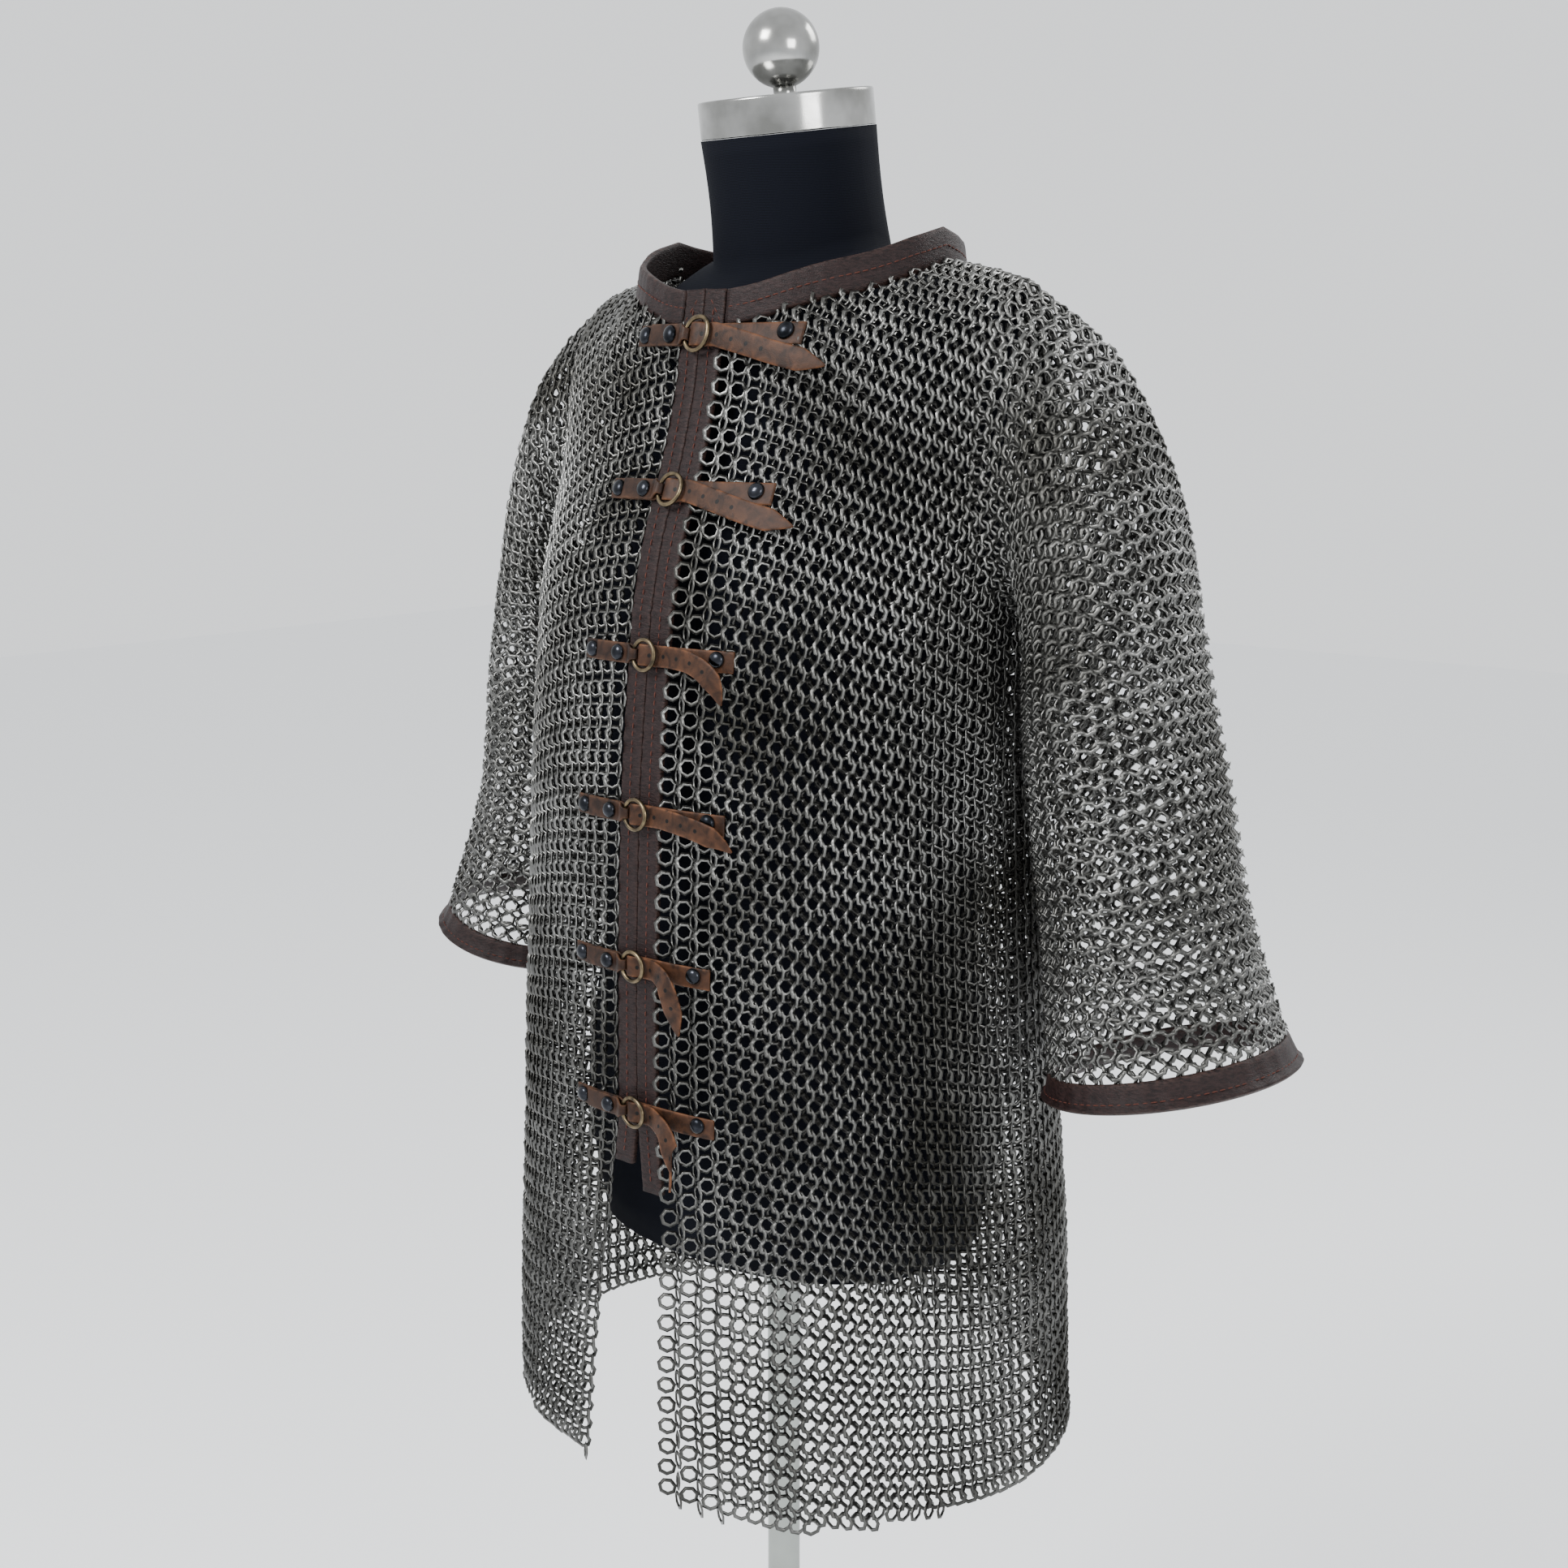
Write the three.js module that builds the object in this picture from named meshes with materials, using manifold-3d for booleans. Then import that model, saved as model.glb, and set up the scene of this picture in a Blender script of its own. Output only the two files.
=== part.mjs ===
// Chainmail hauberk, buckled down the front, on a round dress form.
// Millimetres. +X is the wearer's left, -Y is the front, and the floor is z = 0.
import * as THREE from 'three';
import Module from 'manifold-3d';
import { mergeVertices } from 'three/addons/utils/BufferGeometryUtils.js';

const wasm = await Module();
wasm.setup();

// Driving dimensions
const WALL = 6;                  // mail, as thick as its tilted rings
const GAP = 0.3;                 // clearance where two pieces meet
const HEM = { front: 603, side: 632, back: 630 };
const ARMPIT_Z = 1240;
const SIDE_Y = 8;                // the side line, seen from above
const SIDE_TURN = Math.PI / 2;
const ROUNDNESS = 0.86;          // exponent of the plan, 1 is an ellipse
const ARMHOLE_SET_IN = THREE.MathUtils.degToRad(18);
const ARMHOLE_SPREAD = 0.35;     // the rise by which it has left the side line
const NECK = { halfWidth: 124, halfDepth: 101, y: 17 };
const COLLAR = { height: 24, leanIn: 4 };
const PLACKET = { width: 18, rightEnd: 855, leftEnd: 838 };
const LEATHER = 1.8;
const STRAP_WIDTH = 13.5;

// The body below the armpit: half width, front and back of the mail's middle at each height.
const BODY = [
  { z: 600, half: 223, front: -155, back: 172 },
  { z: 770, half: 215, front: -158, back: 164 },
  { z: 890, half: 207, front: -157, back: 152 },
  { z: 1010, half: 199, front: -155, back: 140 },
  { z: 1130, half: 194, front: -149, back: 140 },
  { z: 1240, half: 192, front: -137, back: 146 },
];

// The shoulder ridge, from the middle (0) to the arm (1).
const RIDGE = [
  { at: 0, x: 0, y: 22, z: 1512 },
  { at: 0.25, x: 64, y: 22, z: 1496 },
  { at: 0.5, x: 122, y: 22, z: 1471 },
  { at: 0.75, x: 180, y: 24, z: 1456 },
  { at: 1, x: 228, y: 26, z: 1428 },
];

// The chest and the upper back between armpit and ridge: how far up, and how far out from the ridge.
const CHEST = [
  { at: 0, up: 0, out: 1 },
  { at: 0.16, up: 0.17, out: 0.93 },
  { at: 0.32, up: 0.36, out: 0.81 },
  { at: 0.48, up: 0.54, out: 0.72 },
  { at: 0.62, up: 0.7, out: 0.665 },
  { at: 0.76, up: 0.84, out: 0.53 },
  { at: 0.89, up: 0.95, out: 0.28 },
  { at: 1, up: 1, out: 0 },
];
const UPPER_BACK = [
  { at: 0, up: 0, out: 1 },
  { at: 0.16, up: 0.2, out: 0.99 },
  { at: 0.32, up: 0.4, out: 0.95 },
  { at: 0.48, up: 0.59, out: 0.88 },
  { at: 0.62, up: 0.77, out: 0.79 },
  { at: 0.76, up: 0.9, out: 0.6 },
  { at: 0.89, up: 0.965, out: 0.31 },
  { at: 1, up: 1, out: 0 },
];

// Rings round the left sleeve after the armhole: outer and inner point of each, and its half depth.
const SLEEVE = [
  { outX: 222, outZ: 1428, inX: 203, inZ: 1238, y: 29, depth: 56 },
  { outX: 250, outZ: 1396, inX: 206, inZ: 1228, y: 34, depth: 66 },
  { outX: 279, outZ: 1330, inX: 206, inZ: 1205, y: 38, depth: 72 },
  { outX: 300, outZ: 1240, inX: 204, inZ: 1165, y: 40, depth: 76 },
  { outX: 318, outZ: 1150, inX: 208, inZ: 1105, y: 44, depth: 80 },
  { outX: 338, outZ: 1055, inX: 215, inZ: 1025, y: 47, depth: 82 },
  { outX: 373, outZ: 968, inX: 226, inZ: 934, y: 44, depth: 87 },
  { outX: 386, outZ: 950, inX: 222, inZ: 916, y: 43, depth: 93 },
];

// Front opening: where the mail's raw edges are, to the wearer's right and left of the middle.
const SLIT = [
  { z: 600, right: -68, left: 16 },
  { z: 740, right: -42, left: 20 },
  { z: 838, right: -25, left: 26 },
  { z: 886, right: -18.5, left: 18.5 },
  { z: 1000, right: -18.3, left: 18.3 },
  { z: 1240, right: -18.3, left: 18.3 },
];

// Closures from the top: height, the strap's riveted end, and its free end as places across, up and out.
const TAIL_STRAIGHT = [[24, -2, 3.5], [44, -7, 3.6], [62, -12, 4], [82, -17, 4.6], [99, -21, 5]];
const CLOSURES = [
  { z: 1422, end: 80, tail: TAIL_STRAIGHT },
  { z: 1319, end: 80, tail: TAIL_STRAIGHT },
  { z: 1212, end: 72, tail: [[24, 0, 4.2], [42, -2, 7], [56, -8, 9.5], [64, -17, 9.5], [68, -28, 7]] },
  { z: 1105, end: 72, tail: [[24, 0, 4.2], [44, -2, 7], [60, -5, 9], [72, -10, 8], [80, -16, 6]] },
  { z: 1000, end: 64, tail: [[22, 0, 5.5], [33, -3, 11], [40, -11, 14], [43, -24, 12], [45, -40, 9]] },
  { z: 896, end: 68, tail: [[22, -1, 5.5], [34, -5, 11], [41, -15, 14], [41, -30, 12], [38, -48, 9]] },
];

// Across the front of every closure, from the middle of the placket, and out from the mail.
const RIVET = { radius: 5.5, height: 3.6, end: -51, mid: -23, fromStrapEnd: 12, lift: 1.4 };
const RING = { x: 2, halfWidth: 10.7, halfHeight: 10.2, wire: 1.5, low: 4.4, high: 7 };
const SEAT = 0.45;                            // leather above the mail
const SINGLE = LEATHER / 2 + SEAT;            // middle of a strap on the mail
const DOUBLE = SINGLE + LEATHER + GAP;        // middle of a strap on a strap
const CHAPE = [
  [-58, SINGLE], [-44, SINGLE], [-30, SINGLE], [-16, SINGLE], [-8.4, 1.4], [-6.2, 2.2], [-5.3, 4.4],
  [-6.2, 6.6], [-8.4, 7.5], [-11.5, 5.9], [-14.5, 3.9], [-17, DOUBLE], [-30, DOUBLE], [-44.5, DOUBLE],
];
const STRAP_FOLD = [
  [20, SINGLE], [8, SINGLE], [-1, SINGLE], [-2.5, 1.8], [-3.1, 3.3], [-2.5, 4.8], [-1, 5.4], [3, 5.1],
  [7, 3.7], [10, DOUBLE], [15, DOUBLE],
];
const PRONG = { wire: 0.75, eye: 2.7, tip: 0.6, out: 3.3, slot: 1.9 };
const CHAPE_AT_RING = 7;                      // width where the leather goes round the ring

// Dress form
const FORM = [
  { z: 770, half: 150, front: -108, back: 112 },
  { z: 860, half: 168, front: -112, back: 124 },
  { z: 1010, half: 148, front: -104, back: 106 },
  { z: 1130, half: 158, front: -112, back: 112 },
  { z: 1240, half: 172, front: -112, back: 118 },
];
const FORM_STEPS = { low: 5, high: 7, neck: 5, shoulder: 7 };
const FORM_SHOULDER = 0.79;      // how much of the mail's ridge the form fills
const FORM_DROP = { shoulder: 3.8, neck: 11, from: 0.45, to: 0.66 };  // form below the mail's middle
const FORM_NECK = { foot: 64, footY: 22, radius: 61, y: 5, z: 1562, tilt: THREE.MathUtils.degToRad(8.5) };
const CAP_HEIGHT = 25;
const BALL = { radius: 26.5, up: 55.6, stem: 8 };
const POLE_RADIUS = 12.5;
const BASE = { radius: 190, thick: 10, edge: 2, collarRadius: 24, collarHeight: 46 };

// Materials
function finish(color, roughness, metalness = 0) {
  return new THREE.MeshStandardMaterial({ color, roughness, metalness, side: THREE.DoubleSide });
}
const STEEL_MAIL = finish(0x8f8e88, 0.45, 0.8);
const DARK_LEATHER = finish(0x3a2a2a, 0.75);
const BROWN_LEATHER = finish(0x6b4733, 0.65);
const BLUED_STEEL = finish(0x1c1e22, 0.35, 0.9);
const BRASS = finish(0xa89a6c, 0.4, 0.9);
const BLACK_JERSEY = finish(0x14161c, 0.9);
const POLISHED_STEEL = finish(0xcfd0d0, 0.15, 1);

const group = new THREE.Group();

function add(name, geometry, material) {
  const mesh = new THREE.Mesh(geometry, material);
  mesh.name = name;
  group.add(mesh);
  return mesh;
}

// A smooth curve through the rows of a table, read at one value of its key.
function read(rows, key, at) {
  const last = rows.length - 1;
  let i = 0;
  while (i < last - 1 && at > rows[i + 1][key]) i += 1;
  const span = rows[i + 1][key] - rows[i][key];
  const f = THREE.MathUtils.clamp((at - rows[i][key]) / span, 0, 1);
  const before = rows[Math.max(i - 1, 0)];
  const after = rows[Math.min(i + 2, last)];
  const row = {};
  for (const column of Object.keys(rows[0])) {
    const start = rows[i][column];
    const end = rows[i + 1][column];
    const slopeIn = i === 0 ? end - start : (end - before[column]) / 2;
    const slopeOut = i + 1 === last ? end - start : (after[column] - start) / 2;
    row[column] = (2 * f ** 3 - 3 * f ** 2 + 1) * start + (f ** 3 - 2 * f ** 2 + f) * slopeIn
      + (3 * f ** 2 - 2 * f ** 3) * end + (f ** 3 - f ** 2) * slopeOut;
  }
  return row;
}

// The root of a rising function between two values.
function solve(rising, low, high) {
  for (let step = 0; step < 40; step += 1) {
    const middle = (low + high) / 2;
    if (rising(middle) > 0) high = middle;
    else low = middle;
  }
  return (low + high) / 2;
}

const rounded = (value) => Math.sign(value) * Math.abs(value) ** ROUNDNESS;

// Plan of a body at one height. The turn runs from 0 at the front through the side to PI at the back.
function section(rows, turn, z) {
  const row = read(rows, 'z', z);
  const depth = Math.cos(turn) > 0 ? row.front - SIDE_Y : SIDE_Y - row.back;
  return new THREE.Vector3(row.half * rounded(Math.sin(turn)), SIDE_Y + depth * rounded(Math.cos(turn)), z);
}

// Chest, shoulders and upper back: the plan at the armpit drawn up to the ridge as rise goes 0 to 1.
// A rise over 1 has gone over the ridge and comes down the other side.
function dome(rows, turn, rise, reach = 1, drop = 0) {
  if (rise > 1) return dome(rows, Math.sign(turn || 1) * Math.PI - turn, 2 - rise, reach, drop);
  const atFront = Math.cos(turn) > -1e-9;
  const low = section(rows, turn, ARMPIT_Z);
  const around = Math.abs(Math.atan2(Math.sin(turn), Math.cos(turn)));
  const ridge = read(RIDGE, 'at', reach * (atFront ? around : Math.PI - around) / SIDE_TURN);
  const side = Math.sign(Math.sin(turn)) || 1;
  const step = read(atFront ? CHEST : UPPER_BACK, 'at', rise);
  return new THREE.Vector3(
    low.x + (side * ridge.x - low.x) * step.up,
    ridge.y + (low.y - ridge.y) * step.out,
    ARMPIT_Z + (ridge.z - drop - ARMPIT_Z) * step.up,
  );
}

// One run of height for the whole body: below 0 it is the distance under the armpit, above it the rise.
function bodyAt(turn, level) {
  return level < 0 ? section(BODY, turn, ARMPIT_Z + level) : dome(BODY, turn, level);
}

function cross(pointAt, u, v, stepU, stepV) {
  const alongU = pointAt(u + stepU, v).sub(pointAt(u - stepU, v));
  const alongV = pointAt(u, v + stepV).sub(pointAt(u, v - stepV));
  return alongU.cross(alongV).normalize();
}

// Outward direction of the body. Above the armpit front and back have their own shape, so it is
// measured just inside the one that the turn lies in.
function bodyNormal(turn, level) {
  if (level < 0) return cross(bodyAt, turn, Math.min(level, -0.5), 0.01, 0.5);
  const edge = SIDE_TURN - 0.011;
  const atFront = Math.cos(turn) > -1e-9;
  const inside = atFront ? Math.min(Math.abs(turn), edge) : Math.max(Math.abs(turn), Math.PI - edge);
  return cross(bodyAt, Math.sign(turn || 1) * inside, Math.max(level, 0.004), 0.01, 0.004);
}

// Where the armhole leaves the side line, for one rise.
function armholeTurn(rise) {
  return SIDE_TURN - ARMHOLE_SET_IN * Math.sin(SIDE_TURN * Math.min(rise / ARMHOLE_SPREAD, 1)) ** 0.8;
}

// Points round the left armhole: 0 at the top, PI / 2 in front, PI in the armpit.
function armholeAt(round) {
  const rise = 1 - Math.acos(Math.cos(round)) / Math.PI;
  const turn = armholeTurn(rise);
  return { rise, turn: Math.sin(round) >= 0 ? turn : Math.PI - turn };
}

function sleeveLoop(index, round) {
  if (index === 0) {
    const { rise, turn } = armholeAt(round);
    return dome(BODY, turn, rise);
  }
  const row = SLEEVE[index - 1];
  const middle = new THREE.Vector3((row.outX + row.inX) / 2, row.y, (row.outZ + row.inZ) / 2);
  const outward = new THREE.Vector3((row.outX - row.inX) / 2, 0, (row.outZ - row.inZ) / 2);
  return middle.addScaledVector(outward, Math.cos(round))
    .add(new THREE.Vector3(0, -row.depth * Math.sin(round), 0));
}

// The left sleeve: loops blended smoothly, loop 0 at the armhole and the last one at the cuff's edge.
function sleeveAt(round, loop) {
  const last = SLEEVE.length;
  const i = THREE.MathUtils.clamp(Math.floor(loop), 0, last - 1);
  const f = loop - i;
  const start = sleeveLoop(i, round);
  const end = sleeveLoop(i + 1, round);
  const slopeIn = end.clone().sub(sleeveLoop(Math.max(i - 1, 0), round)).multiplyScalar(0.5);
  const slopeOut = sleeveLoop(Math.min(i + 2, last), round).sub(start).multiplyScalar(0.5);
  return start.clone().multiplyScalar(2 * f ** 3 - 3 * f ** 2 + 1)
    .addScaledVector(slopeIn, f ** 3 - 2 * f ** 2 + f)
    .addScaledVector(end, 3 * f ** 2 - 2 * f ** 3)
    .addScaledVector(slopeOut, f ** 3 - f ** 2);
}

// Outward direction of the sleeve.
function sleeveNormal(round, loop) {
  return cross(sleeveAt, round, Math.max(loop, 0.06), 0.02, 0.05);
}

// At the armhole body and sleeve share one mitre, and in the armpit they hang side by side.
function armholeMitre(round) {
  const { rise, turn } = armholeAt(round);
  const body = bodyNormal(turn, Math.min(rise, 0.999));
  const sleeve = sleeveNormal(round, 0);
  const shared = body.clone().add(sleeve).normalize();
  const under = THREE.MathUtils.smoothstep(-Math.cos(round), 0.1, 1);
  return {
    body: shared.clone().lerp(body, under).normalize(),
    sleeve: shared.clone().lerp(sleeve, under).normalize(),
    shift: body.multiplyScalar(under * (WALL + 2 * GAP)),
  };
}

// A closed solid between two grids of points, with walls along every open edge.
function shell(outer, inner, wraps = false) {
  const columns = outer.length;
  const rows = outer[0].length;
  const positions = [];
  const index = [];
  for (const grid of [outer, inner]) {
    for (const column of grid) {
      for (const point of column) positions.push(point.x, point.y, point.z);
    }
  }
  const at = (layer, i, j) => (layer * columns + (i % columns)) * rows + j;
  const quad = (a, b, c, d) => index.push(a, b, c, a, c, d);
  const lastColumn = wraps ? columns : columns - 1;
  for (let i = 0; i < lastColumn; i += 1) {
    for (let j = 0; j < rows - 1; j += 1) {
      quad(at(0, i, j), at(0, i + 1, j), at(0, i + 1, j + 1), at(0, i, j + 1));
      quad(at(1, i, j), at(1, i, j + 1), at(1, i + 1, j + 1), at(1, i + 1, j));
    }
    quad(at(0, i, 0), at(1, i, 0), at(1, i + 1, 0), at(0, i + 1, 0));
    quad(at(0, i, rows - 1), at(0, i + 1, rows - 1), at(1, i + 1, rows - 1), at(1, i, rows - 1));
  }
  if (!wraps) {
    for (let j = 0; j < rows - 1; j += 1) {
      quad(at(0, 0, j), at(0, 0, j + 1), at(1, 0, j + 1), at(1, 0, j));
      quad(at(0, columns - 1, j), at(1, columns - 1, j), at(1, columns - 1, j + 1), at(0, columns - 1, j + 1));
    }
  }
  const geometry = new THREE.BufferGeometry();
  geometry.setAttribute('position', new THREE.Float32BufferAttribute(positions, 3));
  geometry.setIndex(index);
  geometry.computeVertexNormals();
  return geometry;
}

// A wall of even thickness about a grid of middle points and outward directions.
function wall(columns, thick, wraps = false) {
  const moved = (side) => columns.map((column) => column.map(
    ({ point, normal }) => point.clone().addScaledVector(normal, side * thick / 2),
  ));
  return shell(moved(1), moved(-1), wraps);
}

// The turn that stands a given distance across the front, at one level.
function turnAcross(across, level) {
  return solve((turn) => bodyAt(turn, level).x - across, -1.2, 1.2);
}

const insideNeck = (p) => 1 - (p.x / NECK.halfWidth) ** 2 - ((p.y - NECK.y) / NECK.halfDepth) ** 2;
const columnsTo = (count, from, to) => Array.from({ length: count }, (_, i) => from + (to - from) * i / count);

// A panel ends half a gap from the side line, and there the armhole's top is its last column.
const EDGE_TURN = GAP / 2 / BODY[BODY.length - 1].half;
const LAST_ON_RIDGE = armholeTurn(1) - EDGE_TURN;

// The share of the back's half width where the neck opening meets the ridge.
const NECK_ON_RIDGE = solve((share) => -insideNeck(dome(BODY, share * LAST_ON_RIDGE, 1)), 0, 1);

// The hem dips at the front. Its level counts down from the armpit.
function hemLevel(turn) {
  const end = Math.cos(turn) > 0 ? HEM.front : HEM.back;
  return HEM.side + (end - HEM.side) * Math.cos(turn) ** 2 - ARMPIT_Z;
}

const LOW_ROWS = 9;
const HIGH_ROWS = 10;
const NECK_COLUMNS = 8;
const ARM_COLUMNS = 6;

// One column of a panel: heights under the armpit, then the rise to the neck opening or the ridge.
function panelColumn(turnAt, share, atEdge = false) {
  const column = [];
  const hem = atEdge ? HEM.front - ARMPIT_Z : hemLevel(turnAt(share, HEM.side - ARMPIT_Z));
  for (let row = 0; row < LOW_ROWS; row += 1) {
    const level = hem * (1 - row / LOW_ROWS);
    const turn = turnAt(share, level);
    column.push({ point: bodyAt(turn, level), normal: bodyNormal(turn, level) });
  }
  const open = insideNeck(bodyAt(turnAt(share, 1), 1)) > 1e-6;
  const top = open ? solve((rise) => insideNeck(bodyAt(turnAt(share, rise), rise)), 0.2, 1) : 1 - 1e-9;
  for (let row = 0; row <= HIGH_ROWS; row += 1) {
    const rise = top * row / HIGH_ROWS;
    const turn = turnAt(share, rise);
    column.push({ point: bodyAt(turn, rise), normal: bodyNormal(turn, rise) });
  }
  return column;
}

const RIDGE_TRIM = new THREE.Vector3(0, -GAP / 2, 0);

// The raw front edge, straight between the rows of its panel. It is level's place across the front.
function slitEdge(side, level) {
  const hand = side > 0 ? 'left' : 'right';
  const step = (HEM.front - ARMPIT_Z) / LOW_ROWS;
  const row = Math.floor(Math.min(level, 0) / step);
  const f = Math.min(level, 0) / step - row;
  const edgeAt = (index) => read(SLIT, 'z', ARMPIT_Z + index * step)[hand];
  return THREE.MathUtils.lerp(edgeAt(row), edgeAt(row + 1), f);
}

const slitTurn = (side, level) => turnAcross(slitEdge(side, level), level);

// Columns of a front panel, from its raw edge to the armhole. The mitre is worked out on the left
// armhole, and the right one is its mirror image.
function frontColumns(side) {
  const turnAt = (share, level) => {
    const edge = slitTurn(side, level) * side;
    const arm = level < 0 ? SIDE_TURN : armholeTurn(level);
    return side * THREE.MathUtils.lerp(edge, arm - EDGE_TURN, share);
  };
  const neckShare = solve((share) => -insideNeck(bodyAt(turnAt(share, 1), 1)), 0, 1);
  const shares = [...columnsTo(NECK_COLUMNS, 0, neckShare), ...columnsTo(ARM_COLUMNS, neckShare, 1), 1];
  return shares.map((share) => {
    const column = panelColumn(turnAt, share, share === 0);
    if (share === 1) mitreColumn(column, side, 0);
    return column;
  });
}

function backColumns() {
  const turnAt = (share, level) => {
    const arm = level < 0 ? SIDE_TURN : armholeTurn(level);
    return Math.sign(share || 1) * (Math.PI - Math.abs(share) * (arm - EDGE_TURN));
  };
  const half = [...columnsTo(ARM_COLUMNS, NECK_ON_RIDGE, 1), 1];
  const middle = columnsTo(2 * NECK_COLUMNS, -NECK_ON_RIDGE, NECK_ON_RIDGE).slice(1);
  const shares = [...half.map((share) => -share).reverse(), ...middle, ...half];
  return shares.map((share) => {
    const column = panelColumn(turnAt, share);
    if (Math.abs(share) === 1) mitreColumn(column, share, Math.PI);
    return column;
  });
}

function mitreColumn(column, side, start) {
  for (let row = 0; row <= HIGH_ROWS; row += 1) {
    const round = start === 0 ? Math.PI * (1 - row / HIGH_ROWS) : Math.PI * (1 + row / HIGH_ROWS) % (2 * Math.PI);
    const { body } = armholeMitre(round);
    column[LOW_ROWS + row].normal = body.multiply(new THREE.Vector3(side, 1, 1));
  }
}

// A panel is pulled back from the ridge by half a gap.
function panel(columns, back) {
  const trimmed = columns.map((column) => {
    const top = column[column.length - 1];
    const onRidge = insideNeck(top.point) < -1e-4 || Math.abs(top.point.y - RIDGE[2].y) < 0.01;
    return onRidge ? [...column.slice(0, -1), { ...top, point: top.point.clone().add(back) }] : column;
  });
  return wall(trimmed, WALL);
}

const ROUND_STEPS = 2 * HIGH_ROWS;
const CUFF_LOOP = SLEEVE.length - 1;
const CUFF_GAP = 0.006;          // in loops, as the next one is
const SLEEVE_START = 0.03;

function sleeveTube(side, from, to, steps) {
  const columns = [];
  for (let i = 0; i < ROUND_STEPS; i += 1) {
    const round = 2 * Math.PI * i / ROUND_STEPS;
    const column = [];
    for (let j = 0; j <= steps; j += 1) {
      const loop = THREE.MathUtils.lerp(from, to, j / steps);
      const point = sleeveAt(round, loop);
      let normal = sleeveNormal(round, loop);
      if (loop < 1) {
        const mitre = armholeMitre(round);
        const near = (1 - loop) ** 2;
        point.addScaledVector(mitre.shift, near);
        if (j === 0) normal = mitre.sleeve;
      }
      point.x *= side;
      normal.x *= side;
      column.push({ point, normal });
    }
    columns.push(column);
  }
  if (side < 0) columns.reverse();
  return wall(columns, WALL, true);
}

const frontLeft = frontColumns(1);
const frontRight = frontColumns(-1);
const back = backColumns();
add('mail_front_right', panel([...frontRight].reverse(), RIDGE_TRIM), STEEL_MAIL);
add('mail_front_left', panel(frontLeft, RIDGE_TRIM), STEEL_MAIL);
add('mail_back', panel([...back].reverse(), RIDGE_TRIM.clone().negate()), STEEL_MAIL);
for (const [hand, side] of [['right', -1], ['left', 1]]) {
  add(`mail_sleeve_${hand}`, sleeveTube(side, SLEEVE_START, CUFF_LOOP, 11), STEEL_MAIL);
  add(`cuff_${hand}`, sleeveTube(side, CUFF_LOOP + CUFF_GAP, SLEEVE.length, 2), DARK_LEATHER);
}

// The collar stands on the neck line and leans in a little.
function collarColumn(place) {
  const radial = new THREE.Vector3(place.point.x / NECK.halfWidth, (place.point.y - NECK.y) / NECK.halfDepth, 0);
  const up = radial.clone().multiplyScalar(-COLLAR.leanIn).setZ(COLLAR.height);
  return [GAP / COLLAR.height, 0.5, 1].map((share) => ({
    point: place.point.clone().addScaledVector(up, share),
    normal: place.normal.clone().lerp(radial.clone().setZ(0.16).normalize(), Math.min(share * 2, 1)).normalize(),
  }));
}

// It runs from the left placket round the back to the right one, on the panels' own top places.
function collarBand() {
  const top = (column) => column[column.length - 1];
  const behind = back.slice(ARM_COLUMNS, back.length - ARM_COLUMNS).map(top);
  const line = [
    ...frontLeft.slice(0, NECK_COLUMNS).map(top),
    ...behind.reverse(),
    ...frontRight.slice(0, NECK_COLUMNS).map(top).reverse(),
  ];
  return wall(line.map((place) => collarColumn(place)), WALL);
}

// Folded leather along each front edge, from its lower end to the top of the collar.
function placket(side, endZ) {
  const levels = [endZ - ARMPIT_Z];
  for (let row = 0; row < LOW_ROWS; row += 1) {
    const level = (HEM.front - ARMPIT_Z) * (1 - row / LOW_ROWS);
    if (level > levels[0]) levels.push(level);
  }
  const columns = [0, 0.5, 1].map((share) => {
    const across = (level) => {
      const outer = side * slitEdge(side, level) - GAP;
      return side * Math.max(outer - (1 - share) * (PLACKET.width - GAP / 2), GAP / 2);
    };
    const placeAt = (level) => {
      const turn = turnAcross(across(level), level);
      return { point: bodyAt(turn, level), normal: bodyNormal(turn, level) };
    };
    const column = levels.map(placeAt);
    const top = solve((rise) => insideNeck(placeAt(rise).point), 0.2, 1);
    for (let row = 0; row < HIGH_ROWS; row += 1) column.push(placeAt(top * row / HIGH_ROWS));
    return [...column, ...collarColumn(placeAt(top))];
  });
  if (side < 0) columns.reverse();
  return wall(columns, WALL);
}

add('collar_band', collarBand(), DARK_LEATHER);
add('placket_right', placket(-1, PLACKET.rightEnd), DARK_LEATHER);
add('placket_left', placket(1, PLACKET.leftEnd), DARK_LEATHER);

// A place across the front at one height, on the outside of the mail.
function frontPlace(across, z) {
  const level = z < ARMPIT_Z ? z - ARMPIT_Z
    : solve((rise) => bodyAt(turnAcross(across, rise), rise).z - z, 0, 0.98);
  const turn = turnAcross(across, level);
  return { point: bodyAt(turn, level), normal: bodyNormal(turn, level) };
}

// Lays a flat piece on the front: its x goes across, y up from height z, and z out from the mail.
function layOnFront(geometry, z) {
  const position = geometry.attributes.position;
  const flat = new THREE.Vector3();
  for (let i = 0; i < position.count; i += 1) {
    flat.fromBufferAttribute(position, i);
    const place = frontPlace(flat.x, z + flat.y);
    place.point.addScaledVector(place.normal, WALL / 2 + flat.z);
    position.setXYZ(i, place.point.x, place.point.y, place.point.z);
  }
  geometry.computeVertexNormals();
  return geometry;
}

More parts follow.
